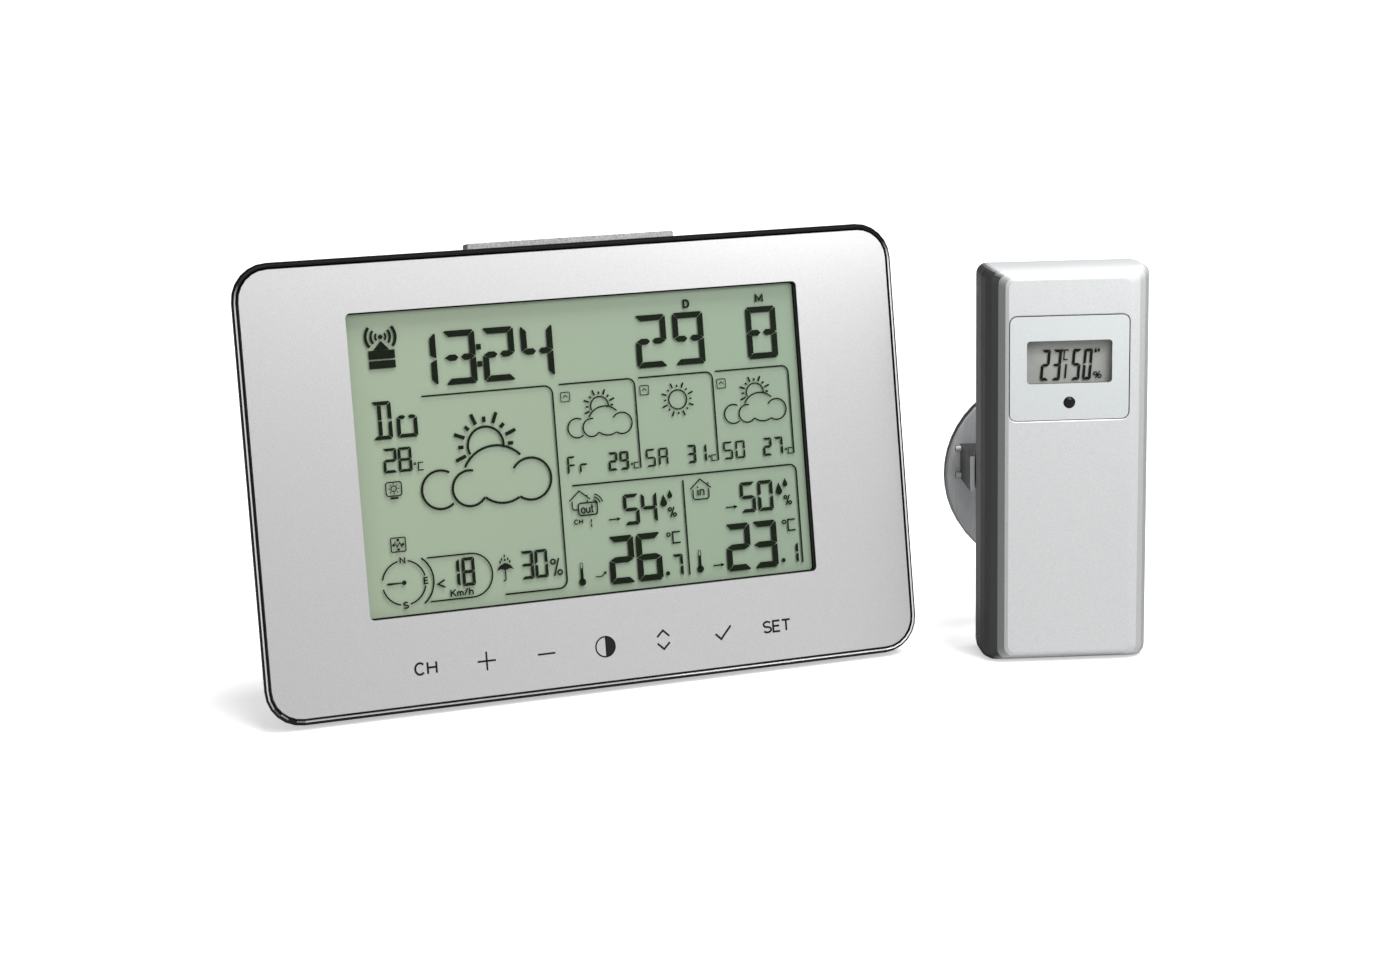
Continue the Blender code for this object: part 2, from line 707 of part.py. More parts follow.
def make_sensor_face(sensor, looks):
    plate = slab(
        "sensor_face_plate", -PLATE_HALF, PLATE_HALF, PLATE_LOW, PLATE_HIGH, PLATE_RADIUS,
        0.0, PLATE_THICKNESS, sensor, looks["pale_plastic"],
    )
    cut(plate, slab(
        "plate_window", -SENSOR_WINDOW_HALF, SENSOR_WINDOW_HALF, SENSOR_WINDOW_LOW, SENSOR_WINDOW_HIGH,
        0.0011, -0.001, 0.003, sensor,
    ))
    led = (0.0, 0.0, LED_HEIGHT)
    cut(plate, rod("plate_led_hole", "Y", led, LED_RADIUS + GAP, -0.001, 0.003, sensor, steps=20))
    turned(
        "sensor_led_lens", "Y", led,
        [(0.0010, -0.0002), (LED_RADIUS, 0.0001), (LED_RADIUS, 0.0036)], sensor, looks["black"], steps=20,
    )
    middle = (SENSOR_WINDOW_LOW + SENSOR_WINDOW_HIGH) / 2
    slab(
        "sensor_lcd", -0.0160, 0.0160, middle - 0.0092, middle + 0.0092, 0.0006,
        SENSOR_LCD_FRONT, SENSOR_LCD_BACK, sensor, looks["lcd"],
    )
    front = SENSOR_LCD_BACK + GAP
    back = SENSOR_BOARD_FRONT - GAP
    loops = []
    for half, tall, depth in (
        (0.0175, 0.0108, front), (0.0175, 0.0108, back), (0.0145, 0.0072, back), (0.0145, 0.0072, front),
    ):
        loops.append(outline(-half, half, middle - tall, middle + tall, 0.0006, depth))
    ring("sensor_lcd_holder", loops, sensor, looks["white_plastic"])
    low = middle - 0.0068
    box("sensor_zebra", -0.0120, 0.0120, front, back, low, low + 0.0018, sensor, looks["rubber"])


def make_sensor_inside(sensor, looks):
    slab(
        "sensor_board", -0.0205, 0.0205, 0.0705, 0.1215, 0.001, SENSOR_BOARD_FRONT, 0.0084,
        sensor, looks["green"],
    )
    tray = box(
        "sensor_battery_tray", -0.0170, 0.0170, 0.0052, 0.0150, 0.0055, 0.0685, sensor, looks["black"],
    )
    cut(tray, box("tray_hollow", -0.0158, 0.0158, 0.0064, 0.0200, 0.0067, 0.0673, sensor))
    for side in (-1, 1):
        number = 1 if side < 0 else 2
        low = SENSOR_CELL_LOW if side < 0 else SENSOR_CELL_LOW - 0.0022
        high = low + CELL_LENGTH
        start, end = (low, high) if side < 0 else (high, low)
        way = 1 if side < 0 else -1
        centre = (side * SENSOR_CELL_X, SENSOR_CELL_DEPTH, 0.0)
        turned(
            f"sensor_battery_{number}", "Z", centre,
            [
                (0.0055, start), (CELL_RADIUS, start + way * 0.0006), (CELL_RADIUS, end - way * 0.0020),
                (0.0060, end - way * 0.0012), (0.0028, end - way * 0.0012), (0.0026, end),
            ],
            sensor, looks["cell"],
        )
        spring = (centre[0], centre[1], start - way * 0.0025)
        coil(
            f"sensor_battery_spring_{number}", "Z", spring, -way * 0.0034,
            (0.0024, 0.0045), 3.5, 0.0003, sensor, looks["steel"],
        )
        plate = end + way * 0.0008
        box(
            f"sensor_battery_plate_{number}", centre[0] - 0.005, centre[0] + 0.005,
            0.0085, 0.0185, plate - 0.00025, plate + 0.00025, sensor, looks["steel"],
        )
    coil(
        "sensor_antenna", "Z", (-0.0203, 0.0115, 0.045), 0.030,
        (0.0020, 0.0020), 7.0, 0.00035, sensor, looks["copper"],
    )
    slab(
        "sensor_probe", 0.0190, 0.0225, 0.008, 0.016, 0.0005, 0.0100, 0.0120,
        sensor, looks["white_plastic"],
    )
    turned(
        "send_key", "Y", (0.0120, 0.0, 0.079), [(0.0018, 0.0090), (0.0018, 0.0125), (0.0014, 0.0129)],
        sensor, looks["black"], steps=20,
    )
    switch = box(
        "channel_switch", -0.0160, -0.0060, 0.0087, 0.0112, 0.0765, 0.0815, sensor, looks["steel"],
    )
    cut(switch, box("switch_slot", -0.0145, -0.0075, 0.0097, 0.0130, 0.0777, 0.0803, sensor))
    box("channel_knob", -0.0140, -0.0120, 0.0100, 0.0140, 0.0780, 0.0800, sensor, looks["black"])


def make_bracket(sensor, looks):
    """A dished wall disc, a U-shaped yoke whose two arms hook into the back cover, and their screw."""
    centre = (0.0, 0.0, DISC_HEIGHT)
    hub = (0.0, 0.0, YOKE_HEIGHT)
    steps = 48
    back = DISC_FRONT + DISC_THICKNESS
    outer = [circle("Y", centre, radius, depth, steps) for radius, depth in (
        (DISC_RADIUS, back), (DISC_RADIUS, DISC_FRONT + 0.0006), (DISC_RADIUS - 0.0006, DISC_FRONT),
    )]
    inner = [circle("Y", centre, DISC_RADIUS - 0.0016, depth, steps) for depth in (back, DISC_FRONT + 0.0020)]
    disc = cup("bracket_disc", outer, inner, sensor, looks["grey_plastic"])
    join(disc, rod("disc_hub", "Y", hub, 0.0045, DISC_FRONT + 0.0010, back, sensor))
    cut(disc, rod("disc_hub_bore", "Y", hub, 0.0016, DISC_FRONT - 0.001, back + 0.001, sensor, steps=16))
    cut(disc, rod("disc_hub_sink", "Y", hub, 0.0030, DISC_FRONT + 0.0032, back + 0.001, sensor, steps=20))
    for side in (-1, 1):
        hole = (0.0, DISC_FRONT, DISC_HEIGHT + side * 0.020)
        cut(disc, rod(f"wall_hole_{side}", "Y", hole, 0.0021, -0.001, 0.006, sensor, steps=16))

    cross_back = DISC_FRONT - GAP
    half_plan = [
        (0.0272, cross_back), (0.0272, 0.0268), (0.0258, 0.0268), (0.0258, 0.0330), (0.0246, 0.0330),
        (0.0246, 0.0206), (0.0218, 0.0206), (0.0218, 0.0460),
    ]
    plan = half_plan + [(-x, y) for x, y in reversed(half_plan)]
    faces = [[(x, y, z) for x, y in plan] for z in (ARM_LOW, ARM_HIGH)]
    yoke = solid("bracket_yoke", faces, sensor, looks["grey_plastic"])
    for side in (-1, 1):
        for number, height in enumerate((ARM_LOW + 0.0013, ARM_HIGH - 0.0013)):
            place = (0.0, cross_back - 0.0016, height)
            start, end = sorted((side * 0.0260, side * 0.0290))
            join(yoke, rod(f"yoke_peg_{side}_{number}", "X", place, 0.0011, start, end, sensor, steps=12))
    cut(yoke, rod("yoke_bore", "Y", hub, 0.0013, 0.043, 0.053, sensor, steps=12))
    turned(
        "bracket_screw", "Y", hub,
        [
            (0.0007, 0.0464), (0.0010, 0.0472), (0.0010, DISC_FRONT + 0.0035),
            (0.0026, DISC_FRONT + 0.0035), (0.0022, DISC_FRONT + 0.0047),
        ],
        sensor, looks["steel"], steps=16,
    )


def make_looks():
    return {
        "gloss_black": look("gloss_black", (0.012, 0.012, 0.013), 0.12),
        "black": look("black_plastic", (0.02, 0.02, 0.021), 0.45),
        "silver": look("silver_panel", (0.70, 0.70, 0.70), 0.38, 0.4),
        "lcd": look("lcd_green_grey", (0.36, 0.43, 0.31), 0.25),
        "light_bar": look("light_bar", (0.75, 0.76, 0.77), 0.3),
        "white_plastic": look("white_plastic", (0.80, 0.80, 0.78), 0.5),
        "clear": look("clear_acrylic", (0.85, 0.88, 0.86), 0.1),
        "rubber": look("dark_rubber", (0.03, 0.03, 0.03), 0.8),
        "green": look("circuit_board", (0.02, 0.16, 0.06), 0.4),
        "ferrite": look("ferrite", (0.06, 0.055, 0.05), 0.6),
        "copper": look("copper_wire", (0.72, 0.33, 0.16), 0.35, 1.0),
        "steel": look("nickel_steel", (0.66, 0.65, 0.62), 0.3, 1.0),
        "cell": look("cell_sleeve", (0.10, 0.28, 0.36), 0.35),
        "sensor_silver": look("sensor_silver", (0.62, 0.63, 0.64), 0.35, 0.5),
        "pale_plastic": look("pale_plastic", (0.80, 0.82, 0.82), 0.4),
        "grey_plastic": look("grey_plastic", (0.42, 0.43, 0.44), 0.45, 0.3),
    }


def main():
    clear_scene()
    looks = make_looks()

    foot_middle = (FOOT_FRONT + FOOT_BACK) / 2
    foot_offset = foot_middle * math.cos(LEAN) + floor_height(foot_middle) * math.sin(LEAN)
    station = empty("station", (0.0, -foot_offset, FRAME_LIFT), (-LEAN, 0.0, 0.0))
    make_front_frame(station, looks["gloss_black"])
    make_front_panel(station, looks["silver"])
    make_display_bezel(station, looks["black"])
    make_touch_board(station, looks["green"])
    make_lcd_stack(station, looks)
    make_boards(station, looks)
    make_rear_housing(station, looks["black"])
    make_housing_screws(station, looks["steel"])
    make_cells(station, looks)
    make_battery_door(station, looks["black"])
    make_snooze_bar(station, looks["light_bar"])
    make_reset_key(station, looks["black"])
    make_front_foot(station, looks["rubber"])
    make_stand(station, looks)

    sensor = empty("sensor", (SENSOR_X, SENSOR_Y, 0.0), (0.0, 0.0, SENSOR_TURN))
    make_sensor_front(sensor, looks["sensor_silver"])
    make_sensor_back(sensor, looks["sensor_silver"])
    make_sensor_face(sensor, looks)
    make_sensor_inside(sensor, looks)
    make_bracket(sensor, looks)


main()
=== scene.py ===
"""Looks of a home weather station: a display station with touch keys, and a wireless sensor on its bracket.

The fixed frame gives every solid its shape and place. This script adds the display's segments and symbols,
the key marks and the finish of every surface, some of it painted shade and a painted highlight, all as
geometry and procedural materials, and then sets up a plain studio. Marks are drawn in millimetres, u to
the right and v upwards, on a plane of the piece that carries them.
"""

import json
import math

import bmesh
import bpy
from mathutils import Matrix, Vector

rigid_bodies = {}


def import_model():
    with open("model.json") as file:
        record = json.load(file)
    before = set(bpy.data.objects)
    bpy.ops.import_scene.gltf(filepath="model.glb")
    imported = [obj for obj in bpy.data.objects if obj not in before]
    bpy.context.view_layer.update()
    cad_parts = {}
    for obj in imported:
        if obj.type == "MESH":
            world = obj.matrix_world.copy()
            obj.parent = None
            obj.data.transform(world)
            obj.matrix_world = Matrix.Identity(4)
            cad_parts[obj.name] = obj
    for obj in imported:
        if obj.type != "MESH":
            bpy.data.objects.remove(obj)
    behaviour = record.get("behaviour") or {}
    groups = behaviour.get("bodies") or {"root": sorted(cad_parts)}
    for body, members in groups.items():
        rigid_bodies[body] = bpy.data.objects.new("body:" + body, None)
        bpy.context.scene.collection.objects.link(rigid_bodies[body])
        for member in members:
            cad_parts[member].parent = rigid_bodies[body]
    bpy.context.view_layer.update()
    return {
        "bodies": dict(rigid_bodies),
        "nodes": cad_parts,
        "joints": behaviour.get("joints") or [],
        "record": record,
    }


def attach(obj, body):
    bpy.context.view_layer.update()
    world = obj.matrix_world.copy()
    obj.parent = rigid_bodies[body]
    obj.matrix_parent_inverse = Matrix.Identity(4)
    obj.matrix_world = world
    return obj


MM = 0.001

# Display window in the station's panel, and the key row under it, in mm in the station's own axes.
WINDOW_LEFT = -73.5
WINDOW_BOTTOM = 29.7
LCD_FRONT = 2.3
LCD_MARK_LIFT = 0.5
# The painted shadow round the display lies just on the pale layer.
EDGE_SHADOW_LIFT = 0.02
KEY_PITCH = 19.3
KEY_MIDDLE = 0.4
KEY_HEIGHT = 13.5
PRINT_THICKNESS = 0.04

# Small display in the sensor, in mm in the sensor's own axes.
SENSOR_WINDOW_LEFT = -13.5
SENSOR_WINDOW_BOTTOM = 90.6
SENSOR_LCD_FRONT = 3.4
SENSOR_MARK_LIFT = 0.35

# Distances that fix the two frames from the record's joints and mounts.
STAND_HINGE_BACK = 25.2
STAND_HINGE_UP = 60.0
SENSOR_BASE_BACK = 12.5

# Studio.
CAMERA_TARGET = Vector((0.0322, -0.0120, 0.0648))
CAMERA_AZIMUTH = math.radians(-21.16)
CAMERA_ELEVATION = math.radians(11.92)
CAMERA_ROLL = math.radians(1.1)
CAMERA_DISTANCE = 0.871
CAMERA_LENS = 72.0
CAMERA_SENSOR_WIDTH = 36.0
FLOOR_RADIUS = 12.0
FLOOR_SEEN = (0.96, 0.96, 0.96)
FLOOR_BOUNCE = (0.4, 0.4, 0.4)
FLOOR_GLOW = 0.5
BRIGHT_SIDE = Vector((0.45, -0.85, 0.3))
WORLD_DARK = 0.1
WORLD_BRIGHT = 0.5


# Materials. The frame's bead carries a painted highlight, in place of a reflection, where the surface faces
# forward, and a little to the left and up. It is whole up to one height in metres and gone from the next.
PAINTED_HIGHLIGHT_LEAN = 0.35
PAINTED_HIGHLIGHT_TILT = 0.2
PAINTED_HIGHLIGHT_FULL_UP_TO = 0.127
PAINTED_HIGHLIGHT_GONE_FROM = 0.132
NOISE_LOW = 0.3
NOISE_HIGH = 0.7
EDGE_SAMPLES = 6


# ---------------------------------------------------------------- frames

def clear_scene():
    for item in list(bpy.data.objects):
        bpy.data.objects.remove(item)


def axes_matrix(right, back, up, origin):
    rows = Matrix((right, back, up)).transposed().to_4x4()
    return Matrix.Translation(origin) @ rows


def station_frame(joints):
    """The leaning station's own axes, x right, y back and z up its panel, from two of its joints."""
    right = Vector((1, 0, 0))
    up = -Vector(joints["snooze_press"]["axis"])
    back = up.cross(right)
    hinge = Vector(joints["stand_fold"]["pos_m"])
    origin = hinge - back * STAND_HINGE_BACK * MM - up * STAND_HINGE_UP * MM
    return axes_matrix(right, back, up, origin)


def sensor_frame(mounts):
    """The upright sensor's own axes, from the middle of its base and the middle of its wall disc."""
    base = Vector(mounts["sensor_base"]["pos_m"])
    back = Vector(mounts["bracket_back"]["axis"]).normalized()
    up = Vector((0, 0, 1))
    right = back.cross(up)
    return axes_matrix(right, back, up, base - back * SENSOR_BASE_BACK * MM)


# ---------------------------------------------------------------- drawing

def on_circle(centre_u, centre_v, radius, degrees, radius_v=None):
    angle = math.radians(degrees)
    return (
        centre_u + radius * math.cos(angle),
        centre_v + (radius_v or radius) * math.sin(angle),
    )


def arc_points(centre_u, centre_v, radius, start, end, radius_v=None):
    """Points from angle start to angle end in degrees, at most 9 degrees apart."""
    count = max(3, math.ceil(abs(end - start) / 9))
    return [
        on_circle(centre_u, centre_v, radius, start + (end - start) * step / count, radius_v)
        for step in range(count + 1)
    ]


def corner_points(before, corner, after, radius):
    """The rounded corner of a frame line: an arc that starts towards `before` and ends towards `after`."""
    corner = Vector(corner)
    start = corner + (Vector(before) - corner).normalized() * radius
    end = corner + (Vector(after) - corner).normalized() * radius
    centre = start + end - corner
    points = []
    for step in range(7):
        turn = math.pi / 2 * step / 6
        points.append(tuple(centre + (start - centre) * math.cos(turn) + (end - centre) * math.sin(turn)))
    return points


class Marks:
    """Thin solid plates on one plane, gathered in one mesh."""

    def __init__(self, frame, left, bottom, depth):
        self.mesh = bmesh.new()
        self.place = frame @ Matrix.Translation((left * MM, depth * MM, bottom * MM))

    def vertex(self, point, front):
        depth = -PRINT_THICKNESS if front else 0.0
        return self.mesh.verts.new((point[0] * MM, depth * MM, point[1] * MM))

    def plate(self, outline):
        near = [self.vertex(point, True) for point in outline]
        far = [self.vertex(point, False) for point in outline]
        self.mesh.faces.new(near)
        self.mesh.faces.new(list(reversed(far)))
        for index, vertex in enumerate(near):
            after = (index + 1) % len(near)
            self.mesh.faces.new((near[after], vertex, far[index], far[after]))

    def band(self, lefts, rights, closed):
        """A band of even thickness between two lines of points."""
        rings = []
        for left, right in zip(lefts, rights):
            rings.append([
                self.vertex(left, True), self.vertex(right, True),
                self.vertex(right, False), self.vertex(left, False),
            ])
        pairs = list(zip(rings, rings[1:]))
        if closed:
            pairs.append((rings[-1], rings[0]))
        for ring, following in pairs:
            for side in range(4):
                other = (side + 1) % 4
                self.mesh.faces.new((ring[side], ring[other], following[other], following[side]))
        if not closed:
            self.mesh.faces.new(rings[0])
            self.mesh.faces.new(list(reversed(rings[-1])))

    def pen(self, u=0.0, v=0.0, scale=1.0, slant=0.0):
        return Pen(self, u, v, scale, slant)

    def finish(self, name, material, body):
        bmesh.ops.recalc_face_normals(self.mesh, faces=self.mesh.faces[:])
        data = bpy.data.meshes.new(name)
        self.mesh.to_mesh(data)
        self.mesh.free()
        piece = bpy.data.objects.new(name, data)
        bpy.context.scene.collection.objects.link(piece)
        piece.matrix_world = self.place
        data.materials.append(material)
        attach(piece, body)


class Pen:
    """Draws on Marks from its own origin, at its own scale and slant. Line widths stay in mm."""

    def __init__(self, marks, u, v, scale, slant):
        self.marks = marks
        self.u = u
        self.v = v
        self.scale = scale
        self.slant = slant

    def at(self, point):
        u, v = point[0] * self.scale, point[1] * self.scale
        return Vector((self.u + u + self.slant * v, self.v + v))

    def plate(self, outline):
        self.marks.plate([self.at(point) for point in outline])

    def bar(self, left, bottom, right, top):
        self.plate([(left, bottom), (right, bottom), (right, top), (left, top)])

    def line(self, points, width, closed=False):
        points = [self.at(point) for point in points]
        lefts, rights = [], []
        for index, point in enumerate(points):
            following = points[(index + 1) % len(points)] if closed or index + 1 < len(points) else None
            before = points[index - 1] if closed or index > 0 else None
            along_in = (point - before).normalized() if before else (following - point).normalized()
            along_out = (following - point).normalized() if following else along_in
            along = (along_in + along_out).normalized()
            side = Vector((-along.y, along.x))
            reach = width / 2 / max(0.5, along.dot(along_in))
            lefts.append(point + side * reach)
            rights.append(point - side * reach)
        self.marks.band(lefts, rights, closed)

    def arc(self, u, v, radius, start, end, width):
        self.line(arc_points(u, v, radius, start, end), width)

    def ring(self, u, v, radius, width):
        self.line(arc_points(u, v, radius, 0, 360)[:-1], width, closed=True)

    def dot(self, u, v, radius):
        self.plate(arc_points(u, v, radius, 0, 360)[:-1])


# ---------------------------------------------------------------- digits and letters

SEGMENTS_OF = {
    "0": "abcdef", "1": "bc", "2": "abged", "3": "abgcd", "4": "fgbc", "5": "afgcd", "6": "afgedc",
    "7": "abc", "8": "abcdefg", "9": "abcdfg", "A": "abcefg", "F": "aefg", "r": "eg", "o": "cdeg",
    "D": "abcdil",
}
SEGMENT_GAP = 0.13


def segment_outlines(width, height, bar, split_middle):
    """Outlines of the seven segments, with mitred ends and a fine gap between neighbours."""
    gap = SEGMENT_GAP if bar > 1 else SEGMENT_GAP * 0.6
    nip = 0.35 * bar
    middle = height / 2
    half = bar / 2
    top = [
        (gap + nip, height), (gap + nip / 2, height - nip / 2), (bar + gap, height - bar),
        (width - bar - gap, height - bar), (width - gap - nip / 2, height - nip / 2),
        (width - gap - nip, height),
    ]
    upper_left = [
        (0, middle + gap), (bar, middle + half + gap), (bar, height - bar - gap),
        (nip / 2, height - gap - nip / 2), (0, height - gap - nip),
    ]
    if split_middle:
        tip = 2 * gap
        notch = 0.4
        inner = width / 2 - notch
        cross = [
            [(tip, middle), (bar, middle - half), (inner - half, middle - half), (inner, middle),
             (inner - half, middle + half), (bar, middle + half)]
        ]
        cross.append([(width - u, v) for u, v in cross[0]])
    else:
        cross = [
            [(2 * gap, middle), (bar + gap, middle - half), (width - bar - gap, middle - half),
             (width - 2 * gap, middle), (width - bar - gap, middle + half), (bar + gap, middle + half)]
        ]
    low = [
        (width / 2 - bar, bar + gap), (width / 2 - bar, middle - gap), (width / 2, middle - gap),
        (width / 2, bar + gap),
    ]

    def flipped(outline):
        return [(u, height - v) for u, v in outline]

    def mirrored(outline):
        return [(width - u, v) for u, v in outline]

    return {
        "a": [top],
        "b": [mirrored(upper_left)],
        "c": [mirrored(flipped(upper_left))],
        "d": [flipped(top)],
        "e": [flipped(upper_left)],
        "f": [upper_left],
        "g": cross,
        "i": [flipped(low)],
        "l": [low],
    }


def digits(pen, text, lefts, bottom, width, height, bar, split_middle=False):
    """Seven-segment figures, one for each character of text, with their left edges at lefts."""
    outlines = segment_outlines(width, height, bar, split_middle)
    for character, left in zip(text, lefts):
        for segment in SEGMENTS_OF[character]:
            for outline in outlines[segment]:
                pen.plate([(left + u, bottom + v) for u, v in outline])


def letter_strokes():
    """Strokes of plain capitals and small letters in a box 1 wide and 1 high."""
    upright = [(0, 0), (0, 1)]
    arch = arc_points(0.5, 0.42, 0.5, 180, 0, 0.2)
    return {
        "C": [arc_points(0.5, 0.5, 0.5, 42, 318)],
        "D": [[(0.45, 0), (0, 0), (0, 1), (0.45, 1), *arc_points(0.45, 0.5, 0.55, 81, -81, 0.5), (0.45, 0)]],
        "E": [[(1, 0), (0, 0), (0, 1), (1, 1)], [(0, 0.52), (0.9, 0.52)]],
        "H": [upright, [(1, 0), (1, 1)], [(0, 0.53), (1, 0.53)]],
        "K": [upright, [(1, 1), (0, 0.4)], [(0.3, 0.6), (1, 0)]],
        "M": [[(0, 0), (0, 1), (0.5, 0.25), (1, 1), (1, 0)]],
        "N": [[(0, 0), (0, 1), (1, 0), (1, 1)]],
        "S": [arc_points(0.5, 0.75, 0.46, 28, 270, 0.25) + arc_points(0.5, 0.25, 0.5, 81, -152, 0.25)],
        "T": [[(0.5, 0), (0.5, 1)], [(0, 1), (1, 1)]],
        "h": [upright, [*arch, (1, 0)]],
        "i": [[(0.5, 0), (0.5, 0.62)], [(0.5, 0.82), (0.5, 1)]],
        "m": [[(0, 0), (0, 0.62)], [(0, 0.5), (0.2, 0.62), (0.5, 0.5), (0.5, 0)],
              [(0.5, 0.5), (0.7, 0.62), (1, 0.5), (1, 0)]],
        "n": [[(0, 0), (0, 0.62)], [*arch, (1, 0)]],
        "o": [arc_points(0.5, 0.31, 0.5, 0, 360, 0.31)],
        "t": [[(0.4, 1), (0.4, 0.1), (0.9, 0)], [(0, 0.66), (0.9, 0.66)]],
        "u": [[(0, 0.64), (0, 0.15), (0.4, 0), (1, 0.15), (1, 0.64)], [(1, 0.15), (1, 0)]],
        "/": [[(0, 0), (1, 1)]],
    }


LETTERS = letter_strokes()


def letter(pen, character, left, bottom, width, height, stroke):
    for points in LETTERS[character]:
        pen.line([(left + u * width, bottom + v * height) for u, v in points], stroke)


def word(pen, text, left, bottom, widths, height, stroke, spacing):
    """Letters one after another; widths is one number for each letter."""
    for character, width in zip(text, widths):
        letter(pen, character, left, bottom, width, height, stroke)
        left += width + spacing


def percent_sign(pen, left, bottom, width, height, stroke):
    radius = width * 0.24
    pen.ring(left + radius, bottom + height - radius, radius - stroke / 2, stroke)
    pen.ring(left + width - radius, bottom + radius, radius - stroke / 2, stroke)
    pen.line([(left + width * 0.3, bottom), (left + width * 0.72, bottom + height)], stroke)


def celsius_sign(pen, left, bottom, width, height, stroke, ring_u, ring_v, ring_radius):
    pen.ring(ring_u, ring_v, ring_radius, stroke * 0.8)
    pen.line([
        (left + width, bottom + height), (left, bottom + height),
        (left, bottom), (left + width, bottom),
    ], stroke)


# ---------------------------------------------------------------- display symbols

# Arcs of the weather symbol in mm: centre u, centre v, radius, start angle, end angle.
CLOUD_ARCS = (
    (43.7, 38.3, 11.1, 152, 43),
    (54.7, 38.15, 6.5, 145, -128),
    (45.7, 40.7, 9.2, -58.6, -131),
    (35.0, 37.0, 5.5, -35, -285),
    (25.7, 37.4, 5.9, -50, -302),
)
SYMBOL_LEFT = 19.6
SYMBOL_BOTTOM = 31.6


def sun_and_cloud(pen, line, ray):
    """A sun behind a cloud, with long and short rays in turn, in the large symbol's own millimetres."""
    for centre_u, centre_v, radius, start, end in CLOUD_ARCS:
        pen.arc(centre_u, centre_v, radius, start, end, line)
    sun_u, sun_v = 41.05, 49.7
    pen.arc(sun_u, sun_v, 5.7, 205, -5, line)
    for step in range(10):
        angle = 22.5 * step
        reach = 10.6 if step % 2 else 8.8
        inner = on_circle(sun_u, sun_v, 7.1, angle)
        pen.line([inner, on_circle(sun_u, sun_v, reach, angle)], ray)


def full_sun(pen, u, v, line, ray):
    pen.ring(u, v, 3.0, line)
    for step in range(16):
        angle = 22.5 * step
        reach = 5.6 if step % 2 else 4.6
        pen.line([on_circle(u, v, 3.9, angle), on_circle(u, v, reach, angle)], ray)


def square_outline(left, bottom, right, top, radius):
    corners = [(left, bottom), (right, bottom), (right, top), (left, top)]
    points = []
    for index, corner in enumerate(corners):
        points += corner_points(corners[index - 1], corner, corners[(index + 1) % 4], radius)
    return points


def house_tag(pen, left, bottom):
    """The small square with a house that marks each forecast column."""
    pen.line(square_outline(left, bottom, left + 2.9, bottom + 2.9, 0.35), 0.26, closed=True)
    pen.line([(left + 0.75, bottom + 1.3), (left + 1.45, bottom + 2.0), (left + 2.15, bottom + 1.3)], 0.26)


def droplet(pen, u, bottom, radius, height):
    tip = (u, bottom + height)
    pen.plate([tip, *arc_points(u, bottom + radius, radius, 155, 385)])


def thermometer(pen, u):
    """A bulb with a filled stem and a hollow top."""
    pen.dot(u, 4.5, 1.15)
    pen.bar(u - 0.45, 4.6, u + 0.45, 8.8)
    pen.line([(u - 0.42, 8.6), (u - 0.42, 10.0), *arc_points(u, 10.05, 0.42, 171, 9), (u + 0.42, 10.0),
              (u + 0.42, 8.6)], 0.2)


def arrow(pen, left, right, v, line):
    pen.line([(left, v), (right - 0.5, v)], line)
    pen.plate([(right, v), (right - 1.3, v + 0.6), (right - 1.3, v - 0.6)])


def frame_line(pen, points, radius, width=0.5):
    """A line through points, with its inner corners rounded."""
    path = [points[0]]
    for before, corner, after in zip(points, points[1:], points[2:]):
        path += corner_points(before, corner, after, radius)
    path.append(points[-1])
    pen.line(path, width)


# ---------------------------------------------------------------- display areas

def draw_edge_shadow(pen):
    """A painted shadow: the thin dark line round the display, where the window's edge shades it."""
    pen.line(square_outline(0.0, 0.12, 146.7, 92.75, 1.2), 0.6, closed=True)


def draw_reception(pen):
    """The radio mast with its waves, over two plain tags."""
    pen.dot(10.75, 85.2, 0.7)
    for radius, width in ((1.6, 0.6), (3.0, 0.75), (4.65, 0.9)):
        for middle in (0, 180):
            pen.arc(10.75, 85.2, radius, middle - 40, middle + 40, width)
    pen.plate([(8.2, 81.2), (13.3, 81.2), (10.75, 84.0)])
    pen.bar(6.65, 78.55, 14.85, 81.15)
    pen.bar(6.65, 75.65, 14.85, 78.05)


def draw_clock(pen):
    digits(pen, "1324", (17.5, 29.95, 42.4, 54.85), 68.95, 10.25, 16.5, 1.9, split_middle=True)
    pen.bar(40.45, 79.05, 42.0, 80.75)
    pen.bar(40.45, 73.8, 42.0, 75.5)


def draw_date(pen):
    digits(pen, "298", (92.25, 104.85, 129.7), 69.15, 10.3, 16.5, 1.85, split_middle=True)
    letter(pen, "D", 109.15, 87.15, 1.6, 2.2, 0.6)
    letter(pen, "M", 133.65, 87.15, 2.2, 2.2, 0.6)


def draw_day(pen):
    """The day's short name, the heat value and the two small symbols at the left."""
    digits(pen, "D", (6.0,), 54.15, 6.2, 11.6, 1.15)
    digits(pen, "o", (13.65,), 54.25, 6.45, 12.5, 1.15, split_middle=True)
    digits(pen, "28", (8.5, 13.2), 43.9, 4.25, 7.5, 0.85)
    celsius_sign(pen, 19.3, 44.0, 1.6, 2.3, 0.35, 18.2, 46.1, 0.3)
    pen.line(square_outline(8.6, 36.9, 13.5, 41.1, 0.8), 0.35, closed=True)
    pen.ring(11.05, 39.1, 0.85, 0.3)
    for step in range(8):
        angle = 45 * step
        pen.line([on_circle(11.05, 39.1, 1.25, angle), on_circle(11.05, 39.1, 1.7, angle)], 0.3)
    pen.bar(9.8, 35.95, 12.3, 36.55)
    pen.line(square_outline(8.75, 19.9, 13.3, 24.15, 0.35), 0.32, closed=True)
    for angle in range(0, 360, 90):
        pen.dot(*on_circle(11.0, 22.0, 1.45, angle), 0.42)
    pen.line([(9.9, 22.9), (10.6, 21.3), (11.5, 22.7), (12.2, 21.1)], 0.3)


def draw_weather(pen):
    sun_and_cloud(pen, 0.72, 1.1)
    frame_line(pen, [(22, 66.2), (63.75, 66.25), (63.75, 3.3), (43.5, 3.35)], 2.7)


